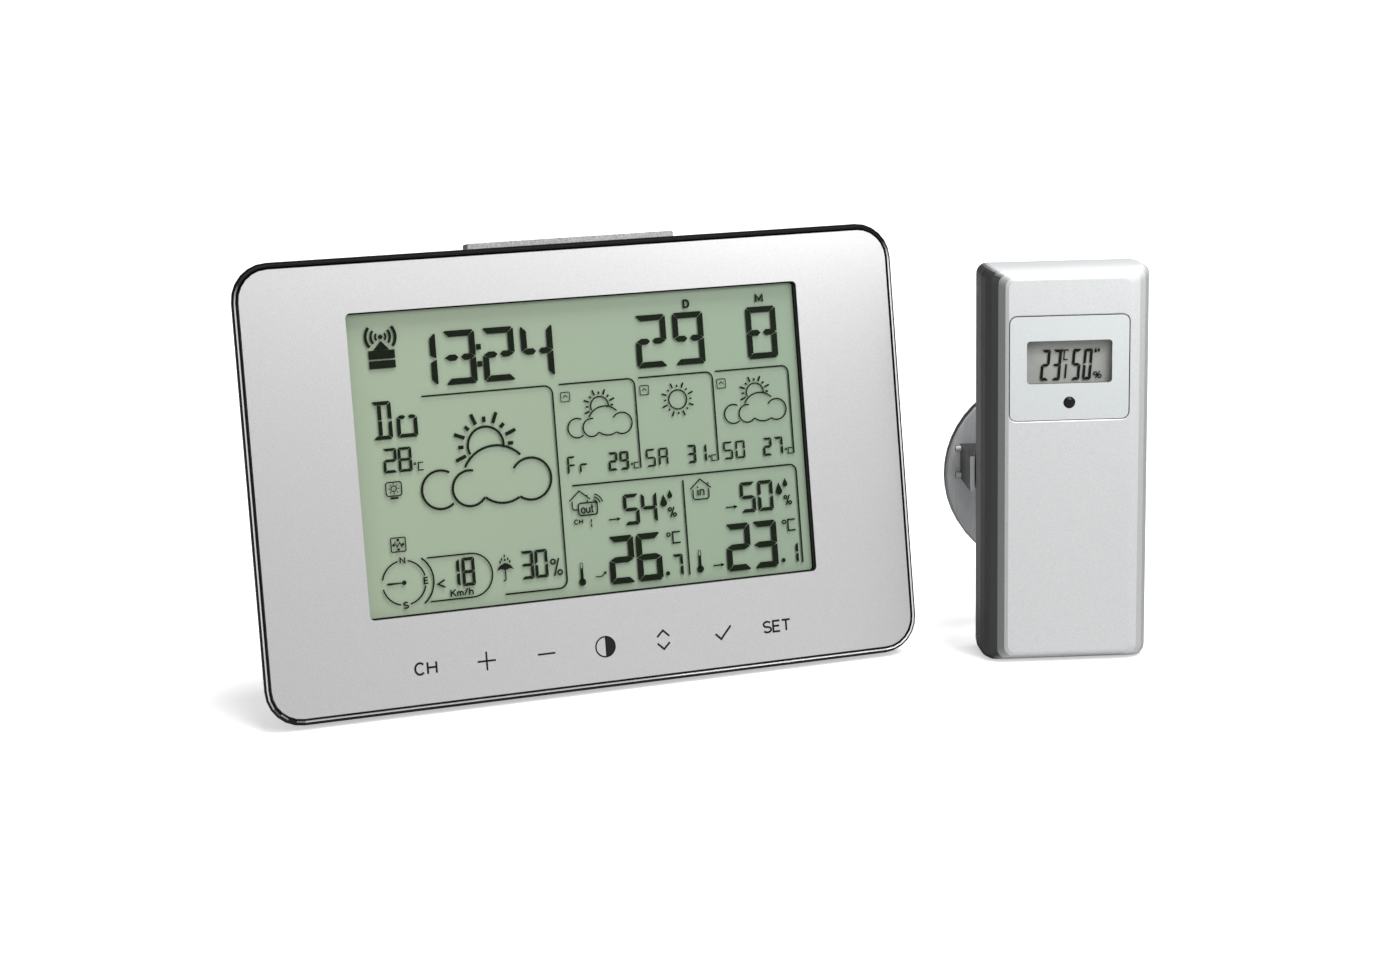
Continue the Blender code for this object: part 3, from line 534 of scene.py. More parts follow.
def draw_wind(pen):
    """The compass, its wide arc, and the speed in its capsule."""
    for start, end in ((13, 77), (103, 168), (192, 257), (283, 347)):
        pen.arc(11.9, 10.3, 6.8, start, end, 0.46)
    letter(pen, "N", 11.2, 16.3, 1.4, 1.7, 0.45)
    letter(pen, "E", 18.2, 9.4, 1.2, 1.8, 0.45)
    letter(pen, "S", 11.2, 2.55, 1.4, 1.75, 0.45)
    pen.dot(11.9, 10.3, 0.7)
    pen.plate([(6.3, 10.3), (6.9, 9.95), (11.6, 10.15), (11.6, 10.45), (6.9, 10.65)])
    pen.arc(12.4, 10.3, 8.8, 52, -52, 0.5)
    pen.line([(19.65, 17.1), *arc_points(33.2, 10.38, 6.72, 90, -90), (19.65, 3.66)], 0.46)
    pen.line([(24.65, 9.9), (22.4, 8.75), (24.65, 7.6)], 0.55)
    digits(pen, "18", (25.5, 30.35), 7.25, 4.05, 8.75, 0.95)
    word(pen, "Km/h", 26.3, 4.5, (1.5, 1.7, 1.0, 1.1), 2.1, 0.42, 0.55)


def draw_rain(pen):
    """The umbrella under rain, and the chance of rain."""
    pen.plate([
        (41.4, 10.9), (42.4, 12.3), (44.1, 13.1), (45.8, 12.3), (46.9, 10.9), (45.5, 11.3), (44.1, 10.9),
        (42.8, 11.3),
    ])
    pen.line([(44.1, 10.9), (44.1, 7.95), (43.75, 7.55), (43.3, 7.65)], 0.35)
    for u, v in ((42.6, 13.4), (43.1, 14.2), (44.1, 14.0), (44.1, 15.2), (45.1, 14.2), (45.7, 13.4)):
        pen.bar(u - 0.22, v - 0.4, u + 0.22, v + 0.4)
    digits(pen, "30", (49.2, 53.8), 7.3, 4.1, 8.75, 0.9)
    percent_sign(pen, 58.6, 7.4, 4.0, 5.4, 0.5)


def draw_forecast(pen):
    """Three forecast columns: a weather symbol, the short day names and the heat values."""
    symbol_scale = 0.511
    for left, frame_right, symbol_left in ((66.0, 90.8, 67.74), (92.1, 116.95, None), (118.0, 142.9, 120.04)):
        frame_line(pen, [(left, 66.3), (frame_right, 66.3), (frame_right, 38.2)], 2.3)
        house_tag(pen, left + 0.3, 60.85)
        if symbol_left is None:
            full_sun(pen, 104.75, 58.5, 0.44, 0.52)
            continue
        small = pen.marks.pen(
            symbol_left - SYMBOL_LEFT * symbol_scale, 49.4 - SYMBOL_BOTTOM * symbol_scale, symbol_scale)
        sun_and_cloud(small, 0.44, 0.56)
    digits(pen, "F", (66.75,), 38.2, 2.75, 5.6, 0.6)
    digits(pen, "r", (70.7,), 38.2, 2.8, 5.6, 0.6)
    digits(pen, "5A", (92.75, 96.95), 38.2, 3.15, 5.6, 0.6)
    digits(pen, "50", (118.85, 123.0), 38.2, 3.2, 5.6, 0.6)
    for text, lefts in (("29", (80.2, 83.95)), ("31", (106.5, 110.1)), ("27", (132.4, 136.2))):
        digits(pen, text, lefts, 38.1, 3.05, 5.8, 0.76)
    for ring_u in (87.9, 114.0, 140.2):
        celsius_sign(pen, ring_u + 0.75, 38.3, 1.45, 1.75, 0.34, ring_u, 39.7, 0.27)


def draw_rooms_frame(pen):
    frame_line(pen, [(67.75, 34.65), (143.2, 34.65), (143.2, 3.0)], 2.3)
    pen.line([(104.4, 33.0), (104.4, 3.0)], 0.5)


def draw_outdoor(pen):
    """Outdoor values: the house with a sensor, moisture above heat."""
    pen.line([(66.5, 29.95), (69.85, 32.85), (73.25, 30.0)], 0.4)
    pen.line([(71.9, 31.2), (72.5, 31.2)], 0.4)
    frame_line(pen, [(67.3, 29.7), (67.3, 27.05), (69.2, 27.05)], 0.8, 0.38)
    pen.line(square_outline(69.2, 25.15, 75.4, 29.0, 0.9), 0.42, closed=True)
    word(pen, "out", 70.15, 25.85, (1.15, 1.15, 0.8), 2.6, 0.4, 0.45)
    pen.line([(72.35, 29.1), (72.35, 29.9)], 0.32)
    for radius in (1.5, 2.4, 3.3):
        pen.arc(74.0, 28.2, radius, 12, 78, 0.38)
    word(pen, "CH", 67.6, 22.65, (1.15, 1.05), 1.3, 0.36, 0.45)
    pen.line([(73.1, 21.3), (73.1, 22.4)], 0.35)
    pen.line([(73.1, 22.7), (73.1, 23.8)], 0.35)
    arrow(pen, 78.9, 82.9, 22.95, 0.42)
    digits(pen, "54", (84.0, 89.95), 20.65, 5.2, 9.7, 1.1)
    droplet(pen, 97.45, 25.35, 1.1, 3.9)
    droplet(pen, 99.65, 27.75, 0.8, 2.75)
    percent_sign(pen, 98.6, 21.8, 3.0, 3.2, 0.46)
    thermometer(pen, 68.7)
    pen.line([(73.1, 5.65), (75.2, 5.65), (76.4, 6.7)], 0.34)
    pen.plate([(76.8, 7.1), (75.75, 6.95), (76.65, 6.05)])
    digits(pen, "26", (78.0, 87.2), 2.65, 8.35, 15.0, 1.9)
    pen.dot(97.1, 4.25, 0.68)
    digits(pen, "7", (98.9,), 3.0, 3.5, 7.0, 0.9)
    celsius_sign(pen, 99.6, 13.6, 2.5, 3.45, 0.5, 98.2, 16.4, 0.55)


def draw_indoor(pen):
    """Indoor values: the house, moisture above heat."""
    pen.line([(106.65, 29.9), (110.1, 32.85), (113.65, 29.9)], 0.4)
    pen.line([(112.75, 30.9), (112.75, 31.7)], 0.35)
    frame_line(pen, [(107.5, 29.7), (107.5, 26.5), (112.85, 26.5), (112.85, 29.7)], 0.9, 0.4)
    word(pen, "in", 108.7, 27.7, (0.9, 1.3), 2.9, 0.42, 0.3)
    arrow(pen, 118.25, 122.25, 23.0, 0.42)
    digits(pen, "50", (123.35, 129.4), 20.75, 5.2, 9.7, 1.1)
    droplet(pen, 136.75, 25.4, 1.1, 3.9)
    droplet(pen, 139.0, 27.8, 0.8, 2.75)
    percent_sign(pen, 138.1, 21.9, 2.9, 3.2, 0.46)
    thermometer(pen, 108.1)
    arrow(pen, 112.5, 116.4, 5.1, 0.42)
    digits(pen, "23", (117.35, 126.5), 2.65, 8.35, 15.0, 1.9)
    pen.dot(136.6, 4.35, 0.68)
    digits(pen, "1", (138.4,), 3.05, 3.5, 6.7, 0.9)
    celsius_sign(pen, 139.0, 13.7, 2.5, 3.45, 0.5, 137.7, 16.55, 0.55)


DISPLAY_AREAS = {
    "display_reception": draw_reception,
    "display_clock": draw_clock,
    "display_date": draw_date,
    "display_day": draw_day,
    "display_weather": draw_weather,
    "display_wind": draw_wind,
    "display_rain": draw_rain,
    "display_forecast": draw_forecast,
    "display_rooms_frame": draw_rooms_frame,
    "display_outdoor": draw_outdoor,
    "display_indoor": draw_indoor,
}


def make_display(frame, material):
    """The dark crystal layer floats over the pale layer behind it, so it throws a fine soft shadow."""
    for name, draw in DISPLAY_AREAS.items():
        marks = Marks(frame, WINDOW_LEFT, WINDOW_BOTTOM, LCD_FRONT - LCD_MARK_LIFT)
        draw(marks.pen())
        marks.finish(name, material, "station")
    # The line round the display is painted shadow from the window's edge, laid flat on the pale layer.
    edge_shadow = Marks(frame, WINDOW_LEFT, WINDOW_BOTTOM, LCD_FRONT - EDGE_SHADOW_LIFT)
    draw_edge_shadow(edge_shadow.pen())
    edge_shadow.finish("display_edge_shadow", material, "station")


def make_sensor_display(frame, material):
    """Slanted figures: heat at the left, moisture at the right, each with its unit."""
    marks = Marks(frame, SENSOR_WINDOW_LEFT, SENSOR_WINDOW_BOTTOM, SENSOR_LCD_FRONT - SENSOR_MARK_LIFT)
    pen = marks.pen(slant=0.075)
    digits(pen, "23", (4.6, 8.2), 0.55, 2.75, 9.8, 0.86)
    digits(pen, "50", (14.4, 18.0), 0.55, 2.75, 9.8, 0.86)
    celsius_sign(pen, 11.7, 7.1, 1.3, 3.0, 0.34, 11.0, 10.0, 0.3)
    pen.line([(12.6, 1.2), (12.6, 5.6)], 0.55)
    percent_sign(pen, 21.4, 0.9, 2.8, 2.2, 0.36)
    droplet(pen, 21.6, 9.1, 0.42, 1.6)
    droplet(pen, 22.6, 9.3, 0.36, 1.4)
    marks.finish("sensor_display_marks", material, "sensor_unit")


# ---------------------------------------------------------------- key marks

def draw_channel_key(pen):
    word(pen, "CH", -3.4, -1.75, (3.0, 2.75), 3.5, 0.64, 0.95)


def draw_plus_key(pen):
    pen.line([(-2.9, 0), (2.9, 0)], 0.58)
    pen.line([(0, -2.9), (0, 2.9)], 0.58)


def draw_minus_key(pen):
    pen.line([(-2.85, 0), (2.85, 0)], 0.58)


def draw_contrast_key(pen):
    pen.ring(0, 0, 3.15, 0.46)
    pen.plate(arc_points(0, 0, 3.1, -90, 90))


def draw_chevron_key(pen):
    for side in (-1, 1):
        pen.line([(-2.05, side * 1.0), (0, side * 2.95), (2.05, side * 1.0)], 0.62)


def draw_check_key(pen):
    pen.line([(-1.75, -0.2), (0.1, -2.0), (3.6, 2.0)], 0.64)


def draw_set_key(pen):
    word(pen, "SET", -4.6, -1.65, (2.6, 2.3, 2.8), 3.4, 0.64, 0.75)


KEYS = {
    "key_channel": draw_channel_key,
    "key_plus": draw_plus_key,
    "key_minus": draw_minus_key,
    "key_contrast": draw_contrast_key,
    "key_arrows": draw_chevron_key,
    "key_check": draw_check_key,
    "key_set": draw_set_key,
}


def make_key_marks(frame, material):
    for index, (name, draw) in enumerate(KEYS.items()):
        left = KEY_MIDDLE + KEY_PITCH * (index - (len(KEYS) - 1) / 2)
        marks = Marks(frame, left, KEY_HEIGHT, 0.0)
        draw(marks.pen())
        marks.finish(name, material, "station")


# ---------------------------------------------------------------- materials

def socket_name(word_with_underscores):
    return word_with_underscores.replace("_", " ").title().replace("Ior", "IOR")


def principled(name, colour, roughness, metallic=0.0, **sockets):
    """A Principled material. Other sockets are set by keyword, such as coat_weight."""
    made = bpy.data.materials.new(name)
    made.use_nodes = True
    shader = made.node_tree.nodes["Principled BSDF"]
    shader.inputs["Base Color"].default_value = (*colour, 1.0)
    shader.inputs["Roughness"].default_value = roughness
    shader.inputs["Metallic"].default_value = metallic
    for key, value in sockets.items():
        shader.inputs[socket_name(key)].default_value = value
    return made


def add_node(material, kind, **values):
    made = material.node_tree.nodes.new(kind)
    for key, value in values.items():
        setattr(made, key, value)
    return made


def link(material, start, start_socket, end, end_socket):
    material.node_tree.links.new(start.outputs[start_socket], end.inputs[end_socket])


def shader_of(material):
    return material.node_tree.nodes["Principled BSDF"]


def add_ramp(material, stops):
    """A colour ramp. Stops are (position, colour), in rising order."""
    ramp = add_node(material, "ShaderNodeValToRGB")
    for _ in stops[2:]:
        ramp.color_ramp.elements.new(0.5)
    for element, (position, colour) in zip(ramp.color_ramp.elements, stops):
        element.position = position
        element.color = (*colour, 1.0)
    return ramp


def object_place(material):
    """The place on the resting object, split into X, Y and Z in metres."""
    place = add_node(material, "ShaderNodeTexCoord")
    split = add_node(material, "ShaderNodeSeparateXYZ")
    link(material, place, "Object", split, "Vector")
    return split


def value_output(texture):
    return "Fac" if "Fac" in texture.outputs else "Distance"


def noise(material, size_mm, detail=2.0, stretch=(1, 1, 1), kind="ShaderNodeTexNoise"):
    """A noise in the piece's own space, with features about size_mm across."""
    place = add_node(material, "ShaderNodeTexCoord")
    mapping = add_node(material, "ShaderNodeMapping")
    mapping.inputs["Scale"].default_value = [value / (size_mm * MM) for value in stretch]
    texture = add_node(material, kind)
    texture.inputs["Scale"].default_value = 1.0
    if "Detail" in texture.inputs:
        texture.inputs["Detail"].default_value = detail
    link(material, place, "Object", mapping, "Vector")
    link(material, mapping, "Vector", texture, "Vector")
    return texture


def vary_colour(material, texture, dark, light, spread=0.25):
    """The base colour runs between two colours with the texture."""
    ramp = add_ramp(material, ((0.5 - spread, dark), (0.5 + spread, light)))
    link(material, texture, value_output(texture), ramp, "Fac")
    link(material, ramp, "Color", shader_of(material), "Base Color")
    return ramp


def vary_roughness(material, texture, low, high):
    spread = add_node(material, "ShaderNodeMapRange")
    spread.inputs["From Min"].default_value = NOISE_LOW
    spread.inputs["From Max"].default_value = NOISE_HIGH
    spread.inputs["To Min"].default_value = low
    spread.inputs["To Max"].default_value = high
    link(material, texture, value_output(texture), spread, "Value")
    link(material, spread, "Result", shader_of(material), "Roughness")


def add_bump(material, texture, height_mm, strength, edge_mm=0.0):
    bump = add_node(material, "ShaderNodeBump")
    bump.inputs["Strength"].default_value = strength
    bump.inputs["Distance"].default_value = height_mm * MM
    link(material, texture, value_output(texture), bump, "Height")
    link(material, bump, "Normal", shader_of(material), "Normal")
    if edge_mm:
        round_edges(material, bump, edge_mm)


def round_edges(material, bump, edge_mm):
    """Softens the look of sharp edges by edge_mm, under the bump."""
    edge = add_node(material, "ShaderNodeBevel", samples=EDGE_SAMPLES)
    edge.inputs["Radius"].default_value = edge_mm * MM
    link(material, edge, "Normal", bump, "Normal")


def painted_shade_by_facing(material, paint, axis, stops):
    """Paints light and shade into the colour by the way that a surface faces: -1 against the axis, 1 along
    it.

    Stops are (facing, shade), in rising order.
    """
    place = add_node(material, "ShaderNodeTexCoord")
    along = add_node(material, "ShaderNodeVectorMath", operation="DOT_PRODUCT")
    along.inputs[1].default_value = axis
    facing = add_node(material, "ShaderNodeMapRange")
    facing.inputs["From Min"].default_value = -1.0
    ramp = add_ramp(material, [((position + 1) / 2, (shade, shade, shade)) for position, shade in stops])
    mix = add_node(material, "ShaderNodeMix", data_type="RGBA", blend_type="MULTIPLY")
    mix.inputs[0].default_value = 1.0
    link(material, place, "Normal", along, 0)
    link(material, along, "Value", facing, "Value")
    link(material, facing, "Result", ramp, "Fac")
    link(material, paint, "Color", mix, 6)
    link(material, ramp, "Color", mix, 7)
    link(material, mix, 2, shader_of(material), "Base Color")


def gloss_black(painted_highlight_axis):
    """Gloss black with a painted highlight along the crown of the bead, which fades out at the top."""
    made = principled("gloss_black", (0.004, 0.004, 0.0045), 0.09, specular_ior_level=0.3)
    fine = noise(made, 6.0, 3.0)
    vary_roughness(made, fine, 0.07, 0.13)
    # Painted highlight: pale base colour where the bead faces forward, up to a height; black elsewhere.
    painted_highlight_fade = add_ramp(made, ((PAINTED_HIGHLIGHT_FULL_UP_TO, (0.8, 0.8, 0.8)), (PAINTED_HIGHLIGHT_GONE_FROM, (0.02, 0.02, 0.02))))
    link(made, object_place(made), "Z", painted_highlight_fade, "Fac")
    painted_shade_by_facing(made, painted_highlight_fade, painted_highlight_axis, ((-0.95, 1.0), (-0.88, 0.005)))
    return made


def silver_panel(depth_axis):
    """Silver on the face, with painted shade that turns the cut edges round the panel and its window black.
    """
    made = principled("silver_panel", (0.6, 0.6, 0.6), 0.4, metallic=0.55)
    flake = noise(made, 0.28, 2.0)
    paint = vary_colour(made, flake, (0.60, 0.60, 0.602), (0.73, 0.73, 0.732))
    # Painted shade: faces that turn from the front, the cut edges and the back, go black.
    painted_shade_by_facing(made, paint, depth_axis, ((-0.8, 1.0), (-0.4, 0.02)))
    add_bump(made, flake, 0.006, 0.5)
    return made


def black_plastic():
    made = principled("black_plastic", (0.02, 0.02, 0.021), 0.45)
    grain = noise(made, 0.4)
    vary_colour(made, grain, (0.014, 0.014, 0.015), (0.028, 0.028, 0.029))
    add_bump(made, grain, 0.01, 0.4, edge_mm=0.2)
    return made


def housing_black():
    """Fine spark-eroded grain, as moulded housings have."""
    made = principled("housing_black", (0.02, 0.02, 0.021), 0.55)
    grain = noise(made, 0.55, 3.0)
    vary_colour(made, grain, (0.016, 0.016, 0.017), (0.034, 0.034, 0.035))
    vary_roughness(made, noise(made, 9.0), 0.5, 0.62)
    add_bump(made, grain, 0.035, 0.7, edge_mm=0.35)
    return made


def display_back():
    """The pale layer behind the display's crystal: green-grey, with painted shade that makes it darker and a
    little cooler to the right.
    """
    made = principled("display", (0.33, 0.40, 0.29), 0.3, specular_ior_level=0.35)
    # Painted shade: the colour runs darker and cooler from the window's left edge to its right.
    spread = add_node(made, "ShaderNodeMapRange")
    spread.inputs["From Min"].default_value = WINDOW_LEFT * MM
    spread.inputs["From Max"].default_value = -WINDOW_LEFT * MM
    ramp = add_ramp(made, ((0.0, (0.372, 0.452, 0.330)), (1.0, (0.272, 0.352, 0.262))))
    link(made, object_place(made), "X", spread, "Value")
    link(made, spread, "Result", ramp, "Fac")
    link(made, ramp, "Color", shader_of(made), "Base Color")
    add_bump(made, noise(made, 0.5), 0.002, 0.3)
    return made


def sensor_display_back():
    """The pale grey layer behind the small display's crystal."""
    made = principled("sensor_display", (0.38, 0.39, 0.37), 0.3, specular_ior_level=0.35)
    cloud = noise(made, 5.0)
    vary_colour(made, cloud, (0.36, 0.37, 0.35), (0.4, 0.41, 0.39))
    return made


def crystal():
    """The switched-on segments."""
    made = principled("crystal", (0.01, 0.015, 0.008), 0.6, specular_ior_level=0.05)
    cloud = noise(made, 3.0)
    vary_colour(made, cloud, (0.008, 0.012, 0.006), (0.012, 0.017, 0.010))
    return made


def key_print():
    made = principled("key_print", (0.01, 0.01, 0.011), 0.6, specular_ior_level=0.2)
    ink = noise(made, 0.3)
    vary_colour(made, ink, (0.008, 0.008, 0.009), (0.016, 0.016, 0.017))
    return made


def white_plastic():
    made = principled("white_plastic", (0.8, 0.8, 0.78), 0.4)
    grain = noise(made, 0.6)
    vary_colour(made, grain, (0.76, 0.76, 0.74), (0.83, 0.83, 0.81))
    add_bump(made, grain, 0.01, 0.3)
    return made


def clear_acrylic():
    made = principled("clear_acrylic", (0.9, 0.93, 0.92), 0.12, transmission_weight=0.85, ior=1.49)
    cloud = noise(made, 4.0)
    vary_roughness(made, cloud, 0.08, 0.2)
    return made


def rubber():
    made = principled("rubber", (0.02, 0.02, 0.02), 0.85)
    grain = noise(made, 0.5, 4.0)
    vary_colour(made, grain, (0.014, 0.014, 0.014), (0.035, 0.035, 0.035))
    add_bump(made, grain, 0.04, 0.6)
    return made


def circuit_board():
    """Green solder resist over copper tracks, which show as paler lines."""
    made = principled("circuit_board", (0.02, 0.14, 0.05), 0.35)
    tracks = noise(made, 1.6, kind="ShaderNodeTexVoronoi")
    tracks.feature = "DISTANCE_TO_EDGE"
    ramp = vary_colour(made, tracks, (0.05, 0.24, 0.09), (0.012, 0.11, 0.04))
    ramp.color_ramp.elements[0].position = 0.06
    ramp.color_ramp.elements[1].position = 0.1
    return made


def ferrite():
    made = principled("ferrite", (0.05, 0.047, 0.043), 0.7)
    grain = noise(made, 0.35, 4.0)
    vary_colour(made, grain, (0.03, 0.028, 0.026), (0.075, 0.07, 0.064))
    add_bump(made, grain, 0.03, 0.6)
    return made


def copper_wire():
    made = principled("copper_wire", (0.75, 0.32, 0.14), 0.28, metallic=1.0)
    turns = noise(made, 0.3, 1.0)
    vary_colour(made, turns, (0.62, 0.24, 0.1), (0.82, 0.38, 0.18))
    return made


def light_bar(depth_axis):
    """Frosted silver-white bar with a fine glittering grain, and painted shade that greys its edges."""
    made = principled("light_bar", (0.8, 0.81, 0.82), 0.35, coat_weight=0.3, coat_roughness=0.2)
    grain = noise(made, 0.5, 3.0)
    paint = vary_colour(made, grain, (0.26, 0.27, 0.28), (0.6, 0.61, 0.62), 0.2)
    # Painted shade: faces that turn sideways from the front and back are greyed.
    painted_shade_by_facing(made, paint, depth_axis, ((-0.8, 1.0), (-0.3, 0.3), (0.3, 0.3), (0.8, 1.0)))
    add_bump(made, grain, 0.03, 0.6)
    return made


def nickel_steel():
    made = principled("nickel_steel", (0.66, 0.65, 0.62), 0.28, metallic=1.0)
    wear = noise(made, 2.0, 3.0)
    vary_colour(made, wear, (0.55, 0.54, 0.51), (0.72, 0.71, 0.68))
    vary_roughness(made, wear, 0.22, 0.4)
    return made


def cell_sleeve():
    made = principled("cell_sleeve", (0.04, 0.16, 0.22), 0.3, metallic=0.5)
    cloud = noise(made, 6.0)
    vary_colour(made, cloud, (0.03, 0.14, 0.2), (0.05, 0.19, 0.26))
    return made


def sensor_silver(side_axis):
    """Silver paint with a fine flake, and painted shade towards the sides, strongest at the left."""
    made = principled("sensor_silver", (0.75, 0.76, 0.77), 0.4, metallic=0.4)
    flake = noise(made, 0.35, 2.0)
    paint = vary_colour(made, flake, (0.68, 0.695, 0.70), (0.82, 0.835, 0.84))
    # Painted shade: the left side goes nearly black and the right side down to half.
    painted_shade_by_facing(made, paint, side_axis, ((-0.5, 0.07), (-0.03, 1.0), (0.4, 1.0), (0.95, 0.5)))
    add_bump(made, flake, 0.012, 0.6, edge_mm=0.6)
    return made


def pale_plastic(depth_axis):
    """A pale printed face, with painted shade on its cut edges."""
    made = principled("pale_plastic", (0.61, 0.64, 0.64), 0.4)
    grain = noise(made, 0.6)
    paint = vary_colour(made, grain, (0.59, 0.62, 0.62), (0.64, 0.67, 0.67))
    # Painted shade: the window walls and outer edges go dark where they turn from the face.
    painted_shade_by_facing(made, paint, depth_axis, ((-0.8, 1.0), (-0.4, 0.1)))
    add_bump(made, grain, 0.006, 0.3)
    return made


def led_lens():
    made = principled("led_lens", (0.008, 0.007, 0.008), 0.25, specular_ior_level=0.3)
    cloud = noise(made, 1.0)
    vary_roughness(made, cloud, 0.2, 0.3)
    return made


def bracket_grey(depth_axis):
    """Silver-grey moulding with fine streaks of flow, and painted shade on its edges."""
    made = principled("bracket_grey", (0.5, 0.51, 0.52), 0.42)
    streak = noise(made, 0.6, 3.0, stretch=(1, 1, 0.12))
    paint = vary_colour(made, streak, (0.74, 0.75, 0.76), (0.88, 0.89, 0.9))
    # Painted shade: faces that turn sideways from the front and back are made dark.
    painted_shade_by_facing(made, paint, depth_axis, ((-0.85, 1.0), (-0.3, 0.05), (0.3, 0.05), (0.85, 1.0)))
    add_bump(made, streak, 0.012, 0.5)
    return made


def make_slot_materials(station, sensor):
    station_back = station.col[1].xyz
    station_right = station.col[0].xyz
    station_up = station.col[2].xyz
    # The frame's painted highlight lies where the bead faces against this axis.
    painted_highlight_facing = (station_back + PAINTED_HIGHLIGHT_LEAN * station_right - PAINTED_HIGHLIGHT_TILT * station_up).normalized()
    sensor_right = sensor.col[0].xyz
    sensor_back = sensor.col[1].xyz
    return {
        "gloss_black": gloss_black(painted_highlight_facing),
        "silver_panel": silver_panel(station_back),
        "black_plastic": black_plastic(),
        "housing_black": housing_black(),
        "display": display_back(),
        "sensor_display": sensor_display_back(),
        "white_plastic": white_plastic(),
        "clear_acrylic": clear_acrylic(),
        "rubber": rubber(),
        "circuit_board": circuit_board(),
        "ferrite": ferrite(),
        "copper_wire": copper_wire(),
        "light_bar": light_bar(station_back),
        "nickel_steel": nickel_steel(),
        "cell_sleeve": cell_sleeve(),
        "sensor_silver": sensor_silver(sensor_right),
        "pale_plastic": pale_plastic(sensor_back),
        "led_lens": led_lens(),
        "bracket_grey": bracket_grey(sensor_back),
    }


def dress_nodes(frame, materials):
    """Every solid of the frame gets the material of its slot."""
    for part in frame["record"]["subparts"]:
        data = frame["nodes"][part["node"]].data
        data.materials.clear()
        data.materials.append(materials[part["material_slot"]])


# ---------------------------------------------------------------- studio

def floor_white():
    """White with faint shadows to the camera, and greyer in the light that it throws back up."""
    made = principled("floor", FLOOR_SEEN, 0.7, specular_ior_level=0.2)
    path = add_node(made, "ShaderNodeLightPath")
    mix = add_node(made, "ShaderNodeMix", data_type="RGBA")
    mix.inputs[6].default_value = (*FLOOR_BOUNCE, 1.0)
    mix.inputs[7].default_value = (*FLOOR_SEEN, 1.0)
    glow = add_node(made, "ShaderNodeMath", operation="MULTIPLY")
    glow.inputs[1].default_value = FLOOR_GLOW
    shader_of(made).inputs["Emission Color"].default_value = (1.0, 1.0, 1.0, 1.0)
    link(made, path, "Is Camera Ray", mix, 0)
    link(made, mix, 2, shader_of(made), "Base Color")
    link(made, path, "Is Camera Ray", glow, 0)
    link(made, glow, "Value", shader_of(made), "Emission Strength")
    return made


def make_floor():
    mesh = bmesh.new()
    bmesh.ops.create_circle(mesh, cap_ends=True, segments=64, radius=FLOOR_RADIUS)
    data = bpy.data.meshes.new("floor")
    mesh.to_mesh(data)
    mesh.free()
    floor = bpy.data.objects.new("floor", data)
    bpy.context.scene.collection.objects.link(floor)
    data.materials.append(floor_white())


def make_world():
    """White to the camera. Surfaces see a soft light that is brightest at the front right."""
    world = bpy.data.worlds.new("studio")
    bpy.context.scene.world = world
    world.use_nodes = True
    tree = world.node_tree
    background = tree.nodes["Background"]
    background.inputs["Color"].default_value = (1.0, 1.0, 1.0, 1.0)
    place = tree.nodes.new("ShaderNodeTexCoord")
    along = tree.nodes.new("ShaderNodeVectorMath")
    along.operation = "DOT_PRODUCT"
    along.inputs[1].default_value = BRIGHT_SIDE.normalized()
    soft = tree.nodes.new("ShaderNodeMapRange")
    soft.inputs["From Min"].default_value = -1.0
    soft.inputs["To Min"].default_value = WORLD_DARK
    soft.inputs["To Max"].default_value = WORLD_BRIGHT
    path = tree.nodes.new("ShaderNodeLightPath")
    strength = tree.nodes.new("ShaderNodeMapRange")
    tree.links.new(place.outputs["Generated"], along.inputs[0])
    tree.links.new(along.outputs["Value"], soft.inputs["Value"])
    tree.links.new(path.outputs["Is Camera Ray"], strength.inputs["Value"])
    tree.links.new(soft.outputs["Result"], strength.inputs["To Min"])
    tree.links.new(strength.outputs["Result"], background.inputs["Strength"])


def aim(item, location, target):
    item.location = location
    direction = Vector(target) - Vector(location)
    item.rotation_euler = direction.to_track_quat("-Z", "Y").to_euler()


def add_panel_light(name, location, target, width, height, power):
    """A soft light, width by height in metres, in watts."""
    data = bpy.data.lights.new(name, "AREA")
    data.shape = "RECTANGLE"
    data.size = width
    data.size_y = height
    data.energy = power
    item = bpy.data.objects.new(name, data)
    bpy.context.scene.collection.objects.link(item)
    aim(item, location, target)


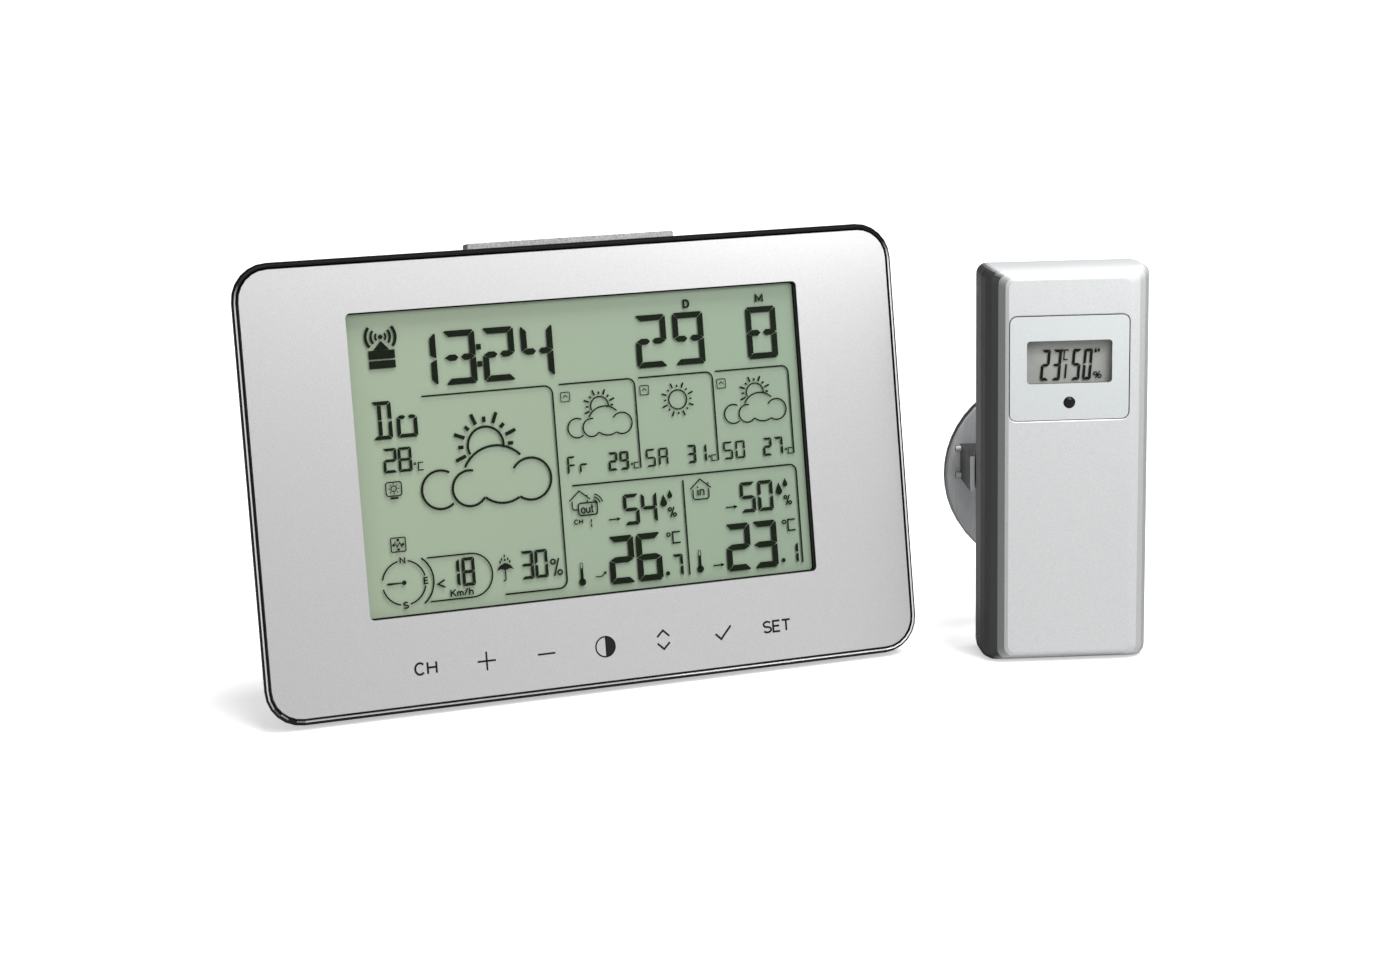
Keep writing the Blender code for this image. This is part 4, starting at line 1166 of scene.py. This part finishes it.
def add_sun(name, location, power, angle):
    data = bpy.data.lights.new(name, "SUN")
    data.energy = power
    data.angle = math.radians(angle)
    item = bpy.data.objects.new(name, data)
    bpy.context.scene.collection.objects.link(item)
    aim(item, location, (0, 0, 0))


def make_lights():
    """One soft sun from above, a box light before each thing and a tall strip at the left."""
    add_sun("soft_sun", (0.25, -0.25, 1.4), power=2.4, angle=25)
    add_panel_light("panel_box", (0.06, -0.45, 0.36), (0, 0, 0.1), 0.24, 0.15, power=0.5)
    add_panel_light("sensor_box", (0.18, -0.18, 0.26), (0.146, -0.03, 0.1), 0.1, 0.08, power=0.35)
    add_panel_light("left_strip", (-0.85, -0.3, 0.2), (0, 0, 0.07), 0.1, 0.6, power=0.8)


def make_camera():
    look = Vector((
        -math.sin(CAMERA_AZIMUTH) * math.cos(CAMERA_ELEVATION),
        math.cos(CAMERA_AZIMUTH) * math.cos(CAMERA_ELEVATION),
        -math.sin(CAMERA_ELEVATION),
    ))
    right = look.cross(Vector((0, 0, 1))).normalized()
    up = right.cross(look)
    rolled_right = right * math.cos(CAMERA_ROLL) - up * math.sin(CAMERA_ROLL)
    rolled_up = right * math.sin(CAMERA_ROLL) + up * math.cos(CAMERA_ROLL)
    data = bpy.data.cameras.new("camera")
    data.lens = CAMERA_LENS
    data.sensor_width = CAMERA_SENSOR_WIDTH
    camera = bpy.data.objects.new("camera", data)
    bpy.context.scene.collection.objects.link(camera)
    camera.matrix_world = axes_matrix(rolled_right, rolled_up, -look, CAMERA_TARGET - look * CAMERA_DISTANCE)
    bpy.context.scene.camera = camera


clear_scene()
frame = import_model()
bpy.context.scene.view_settings.view_transform = "Standard"
make_camera()

joints = {joint["name"]: joint for joint in frame["joints"]}
mounts = {mount["name"]: mount for mount in frame["record"]["mounts"]}
station = station_frame(joints)
sensor = sensor_frame(mounts)

dress_nodes(frame, make_slot_materials(station, sensor))
segment_material = crystal()
make_display(station, segment_material)
make_sensor_display(sensor, segment_material)
make_key_marks(station, key_print())

make_floor()
make_world()
make_lights()
